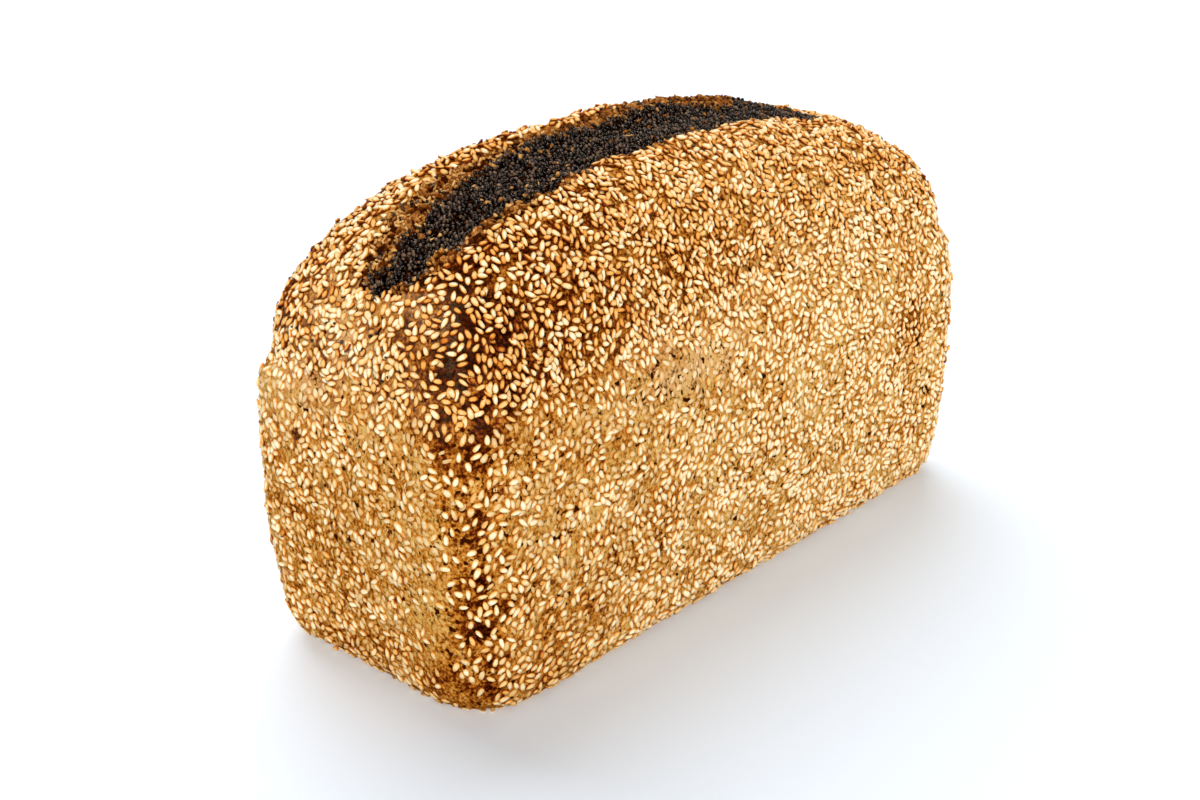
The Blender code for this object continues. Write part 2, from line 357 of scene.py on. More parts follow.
@dataclass(frozen=True)
class CutBand:
    """The opened cut on top: where poppy seeds lie and where torn dough shows.

    Attributes:
        sesame_near: Where sesame ends on the cut slope.
        poppy_near: The poppy seeds' border on that side.
        poppy_far: Their border towards the torn lip.
        sesame_far: Where sesame starts again, on or behind the lip.
        top: Least height of all this.
        ripped_x: From where to where the dough turns ragged, towards the short end.
    """

    sesame_near: Line = line(
        (-100, -3.5), (-99.1, -8.2), (-97.3, -11.8), (-95, -14.3), (-90, -16), (-85.2, -17.2), (-78.2, -17),
        (-72.1, -17.9), (-60.9, -17.9), (-53, -16.3), (-45.2, -15.3), (-35.5, -14.3), (-24, -11.2),
        (-15, -10.6), (-5, -12.4), (2, -10.2), (11.6, -8.6), (24.5, -10), (35, -6.4), (46.5, -6.2),
        (56.6, -7.2), (64, -8), (69, -12), (83, -7),
    )
    poppy_near: Line = line(
        (-99.2, -2), (-98.4, -6.2), (-96.8, -9.3), (-94.8, -11.2), (-92.6, -13.2), (-90.4, -11.6),
        (-86.7, -12), (-85, -14.6), (-83.5, -15.4), (-79.5, -14.2), (-69.8, -14.6), (-66.1, -13.9),
        (-62.2, -15), (-57.1, -15.2), (-49.6, -14.7), (-42.7, -13), (-30.5, -12.7), (-17.6, -9),
        (-4.7, -11.1), (2.2, -8.5), (11.6, -7.2), (24.5, -8.5), (35, -5), (46.5, -4.9), (56.6, -6),
        (64, -6.8), (69, -10.8), (81, -6),
    )
    poppy_far: Line = line(
        (-99.8, 3.2), (-98.1, 3), (-96.7, 0.3), (-93.6, -1.2), (-90.2, 0.3), (-86.4, 2.2), (-84.1, 0.9),
        (-81.7, 0), (-79.2, 0.9), (-75.1, 3.7), (-69.2, 3.1), (-62.9, 4.9), (-55.8, 5.7), (-47, 7.2),
        (-37.9, 10.3), (-31, 11.4), (-15, 11.4), (-8.9, 9.8), (-1.8, 10.2), (9.3, 11.1), (23, 12.3),
        (29.7, 12.4), (33.6, 11.3), (42.6, 10), (52.5, 8.7), (56, 9), (60, 15), (72, 15), (81, 4),
    )
    sesame_far: Line = line(
        (-100.5, 3.8), (-98, 4.4), (-95.5, 5.8), (-92.2, 7.2), (-85, 10.4), (-76.4, 11), (-73.2, 10.2),
        (-68.9, 10.1), (-63.3, 10.8), (-56, 10.8), (-44, 11.6), (-31, 13.2), (-15, 13.4), (-8.9, 12.8),
        (0, 14), (9.3, 15.8), (16.2, 18), (23, 19.8), (40, 21.5), (60, 20.5), (72, 18.5), (83, 8),
    )
    top: float = 0.100
    ragged: Cloud = Cloud(0.0012, 0.0045, 2, (0.4, 0, 0))
    jitter: Cloud = Cloud(0.0010, 0.005, 2, (0, 0.7, 0))
    torn_edge: float = 0.0006
    ripped_x: Row = (-0.030, -0.050)

    def inside(self, points: Points) -> Points:
        """How deep places lie inside the poppy seeds' ragged border, negative outside."""
        below = np.where(points[:, 2] > self.top, 0.0, 1.0)
        return between(self.poppy_near, self.poppy_far, points) + self.ragged.at(points) - below

    def torn(self, points: Points) -> Points:
        """Share of seedless dough, from 0 on sesame crust to 1 in the opened cut."""
        deep = between(self.sesame_near, self.sesame_far, points) + self.jitter.at(points)
        return smooth_step(-self.torn_edge, self.torn_edge, deep) * (points[:, 2] > self.top)

    def ripped(self, points: Points) -> Points:
        """Share of ragged threads of dough, at the short end of the cut."""
        return self.torn(points) * smooth_step(*self.ripped_x, points[:, 0])


@dataclass(frozen=True)
class Bake:
    """How the oven coloured the loaf: fields of roast, toast and flour, and where pits and missing seeds
    lie.
    """

    roasted: tuple[Patch, ...] = patches(
        (-92, -28, 105, 18, 14, 15, 0.43),
        (-99.5, -15, 106, 5, 8.5, 6, -0.4),
        (-101.5, -34.5, 89, 12, 11, 12, 0.38),
        (-105, -40.2, 68, 8.8, 8.2, 28, 0.47),
        (-106.5, -41.5, 26, 7.5, 7, 18, 0.4),
        (-112.5, -31, 42, 5, 5.5, 20, -0.16),
        (-85, -45.5, 12, 24, 10, 15, 0.22),
        (79, -45, 54, 8, 8, 26, 0.42),
        (-98.5, -38.5, 88, 11, 8, 6.5, 0.14),
        (-103, -23, 97, 6, 8, 6, -0.22),
        (-81, -30, 106, 8, 8, 7, -0.16),
        (-49, -38, 101, 8, 8, 7, -0.14),
        (-109, 33, 83, 7, 10, 12, -0.3),
        (74, -40, 90, 12, 10, 12, -0.12),
        (-80, -25.5, 112.5, 14, 8, 7, -0.12),
        (-110, -33, 6, 6, 9, 10, 0.18),
        (-111, 5, 0, 10, 50, 22, 0.18),
        (-113.5, 18.3, 67.5, 6, 2.2, 2.2, 0.55),
        (-113.5, 22.7, 45.2, 6, 2.4, 2.2, 0.5),
        (-106.4, 27.7, 96.6, 4, 2, 2.2, 0.9),
        (-102.8, -16.4, 103.6, 2, 1.6, 1.6, 1.1),
        (-80, -46, 40, 30, 10, 40, 0.06),
        (107, 38, 55, 7, 7, 36, 0.45),
        (-105, 3, 99, 13, 24, 15, -0.42),
        (60, -46, 40, 65, 10, 50, -0.15),
        (-82, 18, 119, 22, 11, 14, -0.35),
        (55, -34, 104, 45, 20, 16, -0.1),
        (-76, 14, 124, 18, 6, 8, -0.3),
        (-27, -45, 77, 18, 8, 8, -0.22),
    )
    floury: tuple[Patch, ...] = patches(
        (-106, 2, 98, 12, 26, 14, 1.15),
        (-99, -15, 106, 6, 10, 6, 0.7),
        (-111, 15, 78, 10, 22, 12, 0.55),
        (-27, -45, 78, 22, 8, 8, 1.3),
        (20, -42, 94, 14, 8, 8, 0.35),
    )
    thinned: tuple[Patch, ...] = patches(
        (-106.5, -39, 66, 7.5, 7, 26, 0.6),
        (-90, -25, 104, 24, 16, 14, 0.26),
        (-111.5, -31.5, 22, 4.5, 5.5, 20, 0.95),
        (-105, 0, 101, 10, 16, 7, 0.12),
        (-33, -45, 76, 20, 8, 8, 0.5),
        (-60, -42, 86, 10, 8, 6, 0.2),
        (-105, -22, 97, 8, 10, 6, 0.15),
        (-108, -39, 30, 8, 7.5, 28, 0.46),
        (45, -46, 30, 70, 10, 45, -0.3),
        (-108.5, -37.5, 3, 8, 8, 8.5, 1.2),
    )
    sunk: tuple[Patch, ...] = patches(
        (-114, 0, 38, 10, 60, 45, 0.42),
        (-65, -46, 38, 50, 10, 42, 0.34),
        (50, -46, 35, 75, 10, 50, -0.24),
        (-33, -45, 76, 24, 8, 10, 0.55),
        (-106, 0, 98, 12, 26, 12, 0.36),
        (-99, -15, 106, 6, 10, 6, 0.32),
        (-108, -39.5, 45, 8, 8, 45, -0.6),
    )
    toasted: tuple[Patch, ...] = patches(
        (-112, 5, 4, 10, 50, 24, 0.18),
        (-102, 6, 104, 16, 24, 13, -0.08),
        (-95, -30, 100, 20, 15, 20, 0.09),
        (-85, -46, 40, 35, 10, 45, 0.1),
        (-113, 0, 50, 10, 50, 50, 0.03),
        (-107.5, -39.5, 45, 8.5, 8, 40, -0.02),
        (50, -46, 40, 70, 10, 55, -0.1),
        (50, -34, 107, 45, 20, 14, 0.11),
        (-111, -10, 84, 8, 20, 9, 0.1),
        (-85, -45.5, 12, 25, 10, 15, 0.18),
        (79, -45, 54, 8, 8, 28, 0.28),
        (70, -39, 92, 14, 10, 12, -0.06),
        (-107, 32, 88, 8, 11, 14, -0.18),
        (-102, -35, 88, 13, 12, 10, 0.27),
        (-80, -25, 113, 14, 8, 8, -0.1),
        (-84, 16, 119, 24, 11, 13, -0.12),
    )
    pitted: tuple[Patch, ...] = patches(
        (-35, -45, 75, 24, 10, 10, 0.7),
        (-107, -39.5, 55, 7.5, 7, 34, 0.9),
        (-109, -37, 3, 9, 9, 9, -0.5),
        (62, -43, 81, 12, 8, 6, 0.5),
        (90, -45, 45, 30, 10, 30, 0.4),
        (-108, -2, 93, 8, 20, 6, 0.4),
        (-70, -46, 50, 35, 10, 40, 0.3),
        (-100, -25, 100, 8, 12, 10, 0.8),
    )
    cracks: tuple[Crack, ...] = (
        crack(56, -43.5, 79.5, 60.8, -43, 81.8),
        crack(64, -42.5, 82.6, 67.2, -41.5, 84.6),
    )
    rim_height: float = 0.086
    roast_edge: float = 0.012
    roast_along: Row = (-0.085, 0.050)
    toast_edges: Row = (-0.010, 0.016)
    roast_drift: Cloud = Cloud(0.006, 0.030, 2, (0.1, 0.5, 0))
    roast_cloud: Cloud = Cloud(0.13, 0.018, 3, (0.3, 0, 0.3))
    broken_cloud: Cloud = Cloud(1.2, 0.0065, 3, (0.6, 0.3, 0), 0.80)
    wall_roast: float = 0.22
    short_roast: float = 0.64
    long_roast: float = 0.21
    crack_roast: float = 0.9
    broken_limits: Row = (0.0, 1.6)
    toast_cloud: Cloud = Cloud(0.10, 0.018, 2, (0.8, 0.1, 0))
    pale_toast: float = 0.03
    dome_toast: float = 0.23
    flour_cloud: Cloud = Cloud(0.9, 0.009, 3, (0.9, 0, 0), 0.5)
    pit_cloud: Cloud = Cloud(0.6, 0.010, 2, (0.2, 0.9, 0.4))
    sink_cloud: Cloud = Cloud(0.75, 0.0095, 2, (0.4, 0.4, 0.1))
    thin_clouds: tuple[Cloud, ...] = (
        Cloud(0.26, 0.010, 2, (0, 0.2, 0.8)),
        Cloud(0.30, 0.0045, 1, (0.3, 0.2, 0)),
    )
    crack_gap: float = 1.5
    flour_limits: Row = (0.15, 1.3)
    sink_limits: Row = (-0.4, 1.1)
    most_missing: float = 0.95

    def roast(self, points: Points) -> Points:
        """How dark the crust is baked.

        Args:
            points: Rows of places.

        Returns:
            0 for the palest crust to 1 for the darkest.
        """
        height = points[:, 2] + self.roast_drift.at(points)
        dome = smooth_step(self.rim_height - self.roast_edge, self.rim_height + self.roast_edge, height)
        along = smooth_step(*self.roast_along, points[:, 0])
        dome_roast = part_way(self.short_roast, self.long_roast, along)
        value = part_way(self.wall_roast, dome_roast, dome) + self.roast_cloud.at(points)
        broken = np.clip(self.broken_cloud.at(points), *self.broken_limits)
        value = value + total(self.roasted, points) * broken
        return np.clip(value + self.crack_roast * total(self.cracks, points), 0.0, 1.0)

    def toast(self, points: Points) -> Points:
        """How brown the seeds are baked.

        Args:
            points: Rows of places.

        Returns:
            0 for cream seeds to 1 for the brownest.
        """
        low, high = (self.rim_height + edge for edge in self.toast_edges)
        dome = smooth_step(low, high, points[:, 2])
        base = part_way(self.pale_toast, self.dome_toast, dome)
        return base + self.toast_cloud.at(points) + total(self.toasted, points)

    def flour(self, points: Points) -> Points:
        """How much dusty flour lies on the crust, 0 to 1."""
        cloud = np.clip(self.flour_cloud.at(points), *self.flour_limits)
        return np.clip(total(self.floury, points) * cloud, 0.0, 1.0)

    def pits(self, points: Points) -> Points:
        """Where the crust has few pits, 0, to where it is full of them, 1."""
        return np.clip(total(self.pitted, points) + self.pit_cloud.at(points), 0.0, 1.0)

    def sinking(self, points: Points) -> Points:
        """How deep seeds lie in the dough, to 1 for seeds that hardly show."""
        return np.clip(total(self.sunk, points) + self.sink_cloud.at(points), *self.sink_limits)

    def thin(self, points: Points) -> Points:
        """Share of the seeds that are missing."""
        value = total(self.thinned, points) + total(self.thin_clouds, points)
        return np.clip(value + self.crack_gap * total(self.cracks, points), 0.0, self.most_missing)


def store(mesh: bpy.types.Mesh, fields: dict[str, Points]) -> None:
    """Keep numbers, or rows of three, for each vertex.

    Args:
        mesh: The mesh that gets the attributes.
        fields: The values by the attribute's name.
    """
    for name, values in fields.items():
        kind, key = ("FLOAT", "value") if values.ndim == 1 else ("FLOAT_VECTOR", "vector")
        attribute = mesh.attributes.new(name, kind, "POINT")
        attribute.data.foreach_set(key, np.asarray(values, np.float32).ravel())


def place(name: str, data: bpy.types.ID) -> Piece:
    """Put a mesh, camera or light in the scene.

    Args:
        name: The object's name.
        data: What it shows.

    Returns:
        The object, at the origin.
    """
    made = bpy.data.objects.new(name, data)
    bpy.context.scene.collection.objects.link(made)
    return made


@dataclass
class CrustSkin:
    """The crust's one closed surface."""

    form: LoafForm
    cut: CutBand
    bake: Bake
    steps_along: int = 214
    steps_across: int = 124
    edge_steps: int = 8
    wall_steps: int = 68
    rim_steps: int = 6
    crowding: float = 0.5
    base_lift: float = 0.0005
    seed_room: float = 0.0007
    pores: Cloud = Cloud(0.00022, 0.0030, 2)
    torn_depth: float = 0.0021
    torn_cloud: Cloud = Cloud(1.0, 0.0034, 3, (0, 0, 0.6))
    torn_grain: Row = (0.45, 1.0, 1.0)
    torn_sharpness: float = 2.2
    torn_level: float = 0.45
    bed_drop: float = 0.0006
    bed_calm: float = 0.75
    bed_filling: float = 0.5
    bed_edge: Row = (-0.0005, 0.0010)
    dark_edge: Row = (-0.0004, 0.0009)
    crack_depth: float = 0.0012
    points: Points = field(default=None, init=False)
    normals: Points = field(default=None, init=False)
    faces: list = field(default=None, init=False)
    ridges: Points = field(default=None, init=False)

    def shares(self, steps: int) -> Points:
        """Shares from -1 to 1, closer together towards the borders."""
        even = np.linspace(-1.0, 1.0, steps + 1)
        return (1 - self.crowding) * even + self.crowding * np.sin(even * math.pi / 2)

    def rows(self) -> list[tuple[float, float]]:
        """Ring heights and extra insets.

        Returns:
            (height, extra inset) from the base's flat up to the rim.
        """
        radius, rim = self.form.base_edge_radius, self.form.rim_height
        turns = np.linspace(math.pi / 2, 0.0, self.edge_steps + 1)
        rows = [(radius * (1 - math.sin(turn)), radius * (1 - math.cos(turn))) for turn in turns]
        plain_top = rim - 2 * self.form.rim_crease_width
        heights = list(np.linspace(radius, plain_top, self.wall_steps + 1)[1:])
        heights += list(np.linspace(plain_top, rim, self.rim_steps + 1)[1:])
        return rows + [(float(height), 0.0) for height in heights]

    def lay_out(self) -> None:
        """Work out the smooth form's vertices and faces: the walls' rings, then the dome's grid."""
        along, across, rows = self.steps_along, self.steps_across, self.rows()
        border = [(i, 0) for i in range(along)] + [(along, j) for j in range(across)]
        border += [(i, across) for i in range(along, 0, -1)] + [(0, j) for j in range(across, 0, -1)]
        grid = border + [(i, j) for i in range(1, along) for j in range(1, across)]
        count = len(border)
        i_of, j_of = np.array(grid).T
        share_x, share_y = self.shares(along)[i_of], self.shares(across)[j_of]
        layers = []
        for height, extra in rows:
            level = np.full(count, height)
            x, y = self.form.outline(level, share_x[:count], share_y[:count], extra)
            layers.append(np.column_stack((x, y, level)))
        top = (share_x[count:], share_y[count:])
        x, y = self.form.outline(np.array(self.form.rim_height), *top)
        layers.append(np.column_stack((x, y, self.form.dome_height(x, y, *top))))
        self.points = np.concatenate(layers)
        last = (len(rows) - 1) * count
        turn = [(i, (i + 1) % count) for i in range(count)]
        lows = range(0, last, count)
        self.faces = [(low + i, low + j, low + count + j, low + count + i) for low in lows for i, j in turn]
        self.faces.append(tuple(range(count))[::-1])
        number = {corner: last + k for k, corner in enumerate(grid)}
        for i in range(along):
            for j in range(across):
                corners = ((i, j), (i + 1, j), (i + 1, j + 1), (i, j + 1))
                self.faces.append(tuple(number[corner] for corner in corners))

    def read_normals(self) -> Points:
        """Vertex normals of the present form.

        Returns:
            One unit vector a vertex.
        """
        mesh = bpy.data.meshes.new("normals")
        mesh.from_pydata(self.points.tolist(), [], self.faces)
        normals = np.zeros(len(self.points) * 3, np.float32)
        mesh.vertex_normals.foreach_get("vector", normals)
        bpy.data.meshes.remove(mesh)
        return normals.reshape(-1, 3).astype(float)

    def carve(self) -> None:
        """Give the smooth form its crags, pores and torn dough."""
        height, edge = self.points[:, 2], self.form.base_edge_radius
        free = smooth_step(edge / 6, edge / 2, height)
        normals = self.read_normals()
        self.points = self.points + self.form.relief(self.points, normals) * free[:, None]
        normals = self.read_normals()
        ripped = self.cut.ripped(self.points)
        bed = smooth_step(*self.bed_edge, self.cut.inside(self.points))
        self.ridges = 1.0 - self.torn_sharpness * np.abs(self.torn_cloud.at(self.points * self.torn_grain))
        rough = self.torn_depth * (self.ridges - self.torn_level) * ripped * (1 - self.bed_calm * bed)
        cracked = self.crack_depth * total(self.bake.cracks, self.points)
        sunk = self.bed_drop * bed + self.seed_room * (1 - self.bed_filling * bed) + cracked
        depth = (self.pores.at(self.points) + rough - sunk) * free
        self.points = self.points + normals * depth[:, None]
        self.points[:, 2] = np.maximum(self.points[:, 2], 0.0) + self.base_lift * (height < 1e-6)
        self.normals = self.read_normals()

    def build(self, material: bpy.types.Material) -> Piece:
        """Make the crust's mesh.

        Args:
            material: The crust's finish.

        Returns:
            The crust as an object at the origin.
        """
        self.lay_out()
        self.carve()
        mesh = bpy.data.meshes.new("crust")
        mesh.from_pydata(self.points.tolist(), [], self.faces)
        points, bake, ripped = self.points, self.bake, self.cut.ripped(self.points)
        store(mesh, {"roast": bake.roast(points), "flour": bake.flour(points)})
        store(mesh, {"pitted": np.maximum(bake.pits(points), ripped), "torn": self.cut.torn(points)})
        # The bed mask marks the crust under the poppy seeds that is painted near-black as shade.
        bed = smooth_step(*self.dark_edge, self.cut.inside(points))
        store(mesh, {"ridge": self.ridges * ripped, "bed": bed})
        mesh.materials.append(material)
        mesh.shade_smooth()
        return place("crust", mesh)


@dataclass(frozen=True)
class Layout:
    """Places for small toppings.

    Attributes:
        points: Rows of places on the crust.
        normals: The crust's normals there.
        spins: Turn of each about its normal, in radians.
        sizes: Length, width and thickness shares of each.
        tilts: Lean of each along its length and its width, in radians.
        lifts: Height of each one's middle above the crust.
    """

    points: Points
    normals: Points
    spins: Points
    sizes: Points
    tilts: Points
    lifts: Points

    def pick(self, wanted: Points) -> "Layout":
        """The wanted ones of these toppings."""
        return Layout(*(values[wanted] for values in vars(self).values()))

    def joined(self, other: "Layout") -> "Layout":
        """These toppings and then the others."""
        pairs = zip(vars(self).values(), vars(other).values())
        return Layout(*(np.concatenate(pair) for pair in pairs))


def tangent_frame(normals: Points) -> tuple[Points, Points]:
    """Two directions along a surface.

    Args:
        normals: Unit normals.

    Returns:
        Two unit vectors a normal, square to it and to each other.
    """
    up = np.where(np.abs(normals[:, 2:3]) < 0.9, np.array((0.0, 0.0, 1.0)), np.array((1.0, 0.0, 0.0)))
    first = unit(np.cross(up, normals))
    return first, np.cross(normals, first)


def heading(directions: tuple[Points, Points], spins: Points) -> Points:
    """Unit vectors turned by spins between two directions along a surface."""
    return directions[0] * np.cos(spins)[:, None] + directions[1] * np.sin(spins)[:, None]


@dataclass
class SeedNest:
    """Turns close-lying seeds so that they lie beside and not through each other.

    Attributes:
        length: A seed's length.
        width: A seed's width.
        tries: Turns that each seed tries in a round.
        rounds: How often all seeds try.
        moving: Share of the seeds that turn in a round.
        touch: Lengths within which a neighbour counts.
        usual: The usual turn on the long walls.
        end_turn: How much further it is on the ends.
        stray: How far seeds stray from it, in radians.
        upright_calm: How much less they stray on upright crust.
        drag: How the usual turn drifts over the crust.
    """

    length: float
    width: float
    tries: int = 7
    rounds: int = 7
    moving: float = 0.55
    touch: float = 1.05
    usual: float = math.radians(62)
    end_turn: float = math.radians(48)
    end_edge: Row = (0.5, 0.9)
    stray: float = 1.5
    upright_calm: float = 0.85
    upright_edge: Row = (0.8, 0.3)
    drag: Cloud = Cloud(1.1, 0.028, 2, (0.2, 0.6, 0.9))

    def pairs(self, points: Points) -> Points:
        """Neighbours that could touch.

        Args:
            points: The seeds' places.

        Returns:
            A row of seeds' numbers and a row of their neighbours', both ways round.
        """
        tree = kdtree.KDTree(len(points))
        for number, seat in enumerate(points):
            tree.insert(seat, number)
        tree.balance()
        close = (tree.find_range(seat, self.length * self.touch) for seat in points)
        found = [(one, two) for one, others in enumerate(close) for _, two, _ in others if one != two]
        return np.array(found).T

    def overlap(self, gap: Points, own: Points, other: Points) -> Points:
        """How deep two seeds lie in each other.

        Args:
            gap: From each seed's middle to its neighbour's.
            own: The seed's half axis.
            other: The neighbour's half axis.

        Returns:
            Metres of overlap, 0 where they are apart.
        """
        least = np.full(len(gap), 1e9)
        for i in (-1.0, 0.0, 1.0):
            for j in (-1.0, 0.0, 1.0):
                away = gap + other * j - own * i
                least = np.minimum(least, np.einsum("ij,ij->i", away, away))
        return np.maximum(0.0, self.width - np.sqrt(least))

    def flow(self, points: Points, normals: Points) -> tuple[Points, Points]:
        """Which way the seeds were dragged as the dough was rolled in them.

        Args:
            points: The seeds' places.
            normals: The crust's normals there.

        Returns:
            The usual turn of a seed there, and how far seeds stray from it.
        """
        at_end = smooth_step(*self.end_edge, np.abs(normals[:, 0]))
        upright = smooth_step(*self.upright_edge, np.abs(normals[:, 2]))
        usual = self.usual + self.end_turn * at_end
        return usual + self.drag.at(points), self.stray - self.upright_calm * upright

    def turn(self, points: Points, normals: Points, random: np.random.Generator) -> tuple[Points, Points]:
        """Find a turn for each seed.

        Args:
            points: The seeds' places.
            normals: The crust's normals there.
            random: The seeded source of every draw.

        Returns:
            Each seed's spin in radians, and how deep it still lies in its neighbours.
        """
        directions, half, count = tangent_frame(normals), (self.length - self.width) / 2, len(points)
        one, two = self.pairs(points)
        gap = points[two] - points[one]
        usual, stray = self.flow(points, normals)
        spins = usual + stray * random.normal(0, 1, count)
        for _ in range(self.rounds):
            axes = half * heading(directions, spins)
            best_spins = spins.copy()
            best = np.bincount(one, self.overlap(gap, axes[one], axes[two]) ** 2, count)
            for _ in range(self.tries):
                trial = usual + stray * random.normal(0, 1, count)
                turned = half * heading(directions, trial)
                cost = np.bincount(one, self.overlap(gap, turned[one], axes[two]) ** 2, count)
                better = cost < best
                best_spins[better], best[better] = trial[better], cost[better]
            spins = np.where(random.random(count) < self.moving, best_spins, spins)
        axes = half * heading(directions, spins)
        depth = np.zeros(count)
        np.maximum.at(depth, one, self.overlap(gap, axes[one], axes[two]))
        flips = random.random(count) < 0.5
        return spins + math.pi * flips, depth


class TreeBuilder:
    """Short forms for making a node tree."""

    def __init__(self, tree: bpy.types.NodeTree) -> None:
        """Start on a tree."""
        self.tree = tree

    def node(self, kind: str, inputs: dict | None = None, **settings: object) -> bpy.types.Node:
        """Add a node.

        Args:
            kind: The node's type.
            inputs: Values or sockets by the input's name or number.
            settings: The node's own settings.

        Returns:
            The new node.
        """
        made = self.tree.nodes.new(kind)
        for name, value in settings.items():
            setattr(made, name, value)
        for name, value in (inputs or {}).items():
            if isinstance(value, Socket):
                self.tree.links.new(value, made.inputs[name])
            else:
                made.inputs[name].default_value = value
        return made

    def out(self, kind: str, inputs: dict | None = None, **settings: object) -> Socket:
        """Add a node and take its first output."""
        return self.node(kind, inputs, **settings).outputs[0]

    def math(self, operation: str, a: object, b: object = 0.0, clamp: bool = False) -> Socket:
        """Add a Math node on two values or sockets."""
        return self.out("ShaderNodeMath", {0: a, 1: b}, operation=operation, use_clamp=clamp)

    def add(self, a: object, b: object, clamp: bool = False) -> Socket:
        """The sum of two values, kept within 0 and 1 where asked."""
        return self.math("ADD", a, b, clamp)

    def times(self, a: object, b: object, clamp: bool = False) -> Socket:
        """The product of two values, kept within 0 and 1 where asked."""
        return self.math("MULTIPLY", a, b, clamp)

    def swing(self, mask: Socket, gain: float) -> Socket:
        """A mask of 0 to 1 as a value that goes up and down about 0."""
        return self.times(self.math("SUBTRACT", mask, 0.5), gain)

    def span(self, value: object, low: object, high: object) -> Socket:
        """Stretch a value so that low becomes 0 and high becomes 1."""
        inputs = {0: value, 1: low, 2: high, 3: 0.0, 4: 1.0}
        return self.out("ShaderNodeMapRange", inputs, clamp=True)

    def mix(self, share: object, a: object, b: object) -> Socket:
        """Blend from one colour to another."""
        inputs = {0: share, 6: a, 7: b}
        return self.node("ShaderNodeMix", inputs, data_type="RGBA").outputs[2]

    def ramp(self, share: object, stops: Sequence[tuple[float, Colour]]) -> Socket:
        """Read a colour from stops.

        Args:
            share: Where to read it, 0 to 1.
            stops: (place, colour) pairs.

        Returns:
            The colour's socket.
        """
        made = self.node("ShaderNodeValToRGB", {0: share})
        elements = made.color_ramp.elements
        while len(elements) < len(stops):
            elements.new(1.0)
        for element, (position, colour) in zip(elements, stops):
            element.position = position
            element.color = colour
        return made.outputs[0]

    def lumps(self, **inputs: object) -> Socket:
        """Noise with its Scale, Detail and Roughness as given, over the piece's own places."""
        return self.out("ShaderNodeTexNoise", {"Vector": self.seat(), **inputs})

    def seat(self) -> Socket:
        """Where on the piece a point lies."""
        return self.node("ShaderNodeTexCoord").outputs["Object"]

    def mask(self, name: str) -> Socket:
        """Read one of the mesh's attributes."""
        made = self.node("ShaderNodeAttribute", attribute_name=name, attribute_type="GEOMETRY")
        return made.outputs["Fac"]


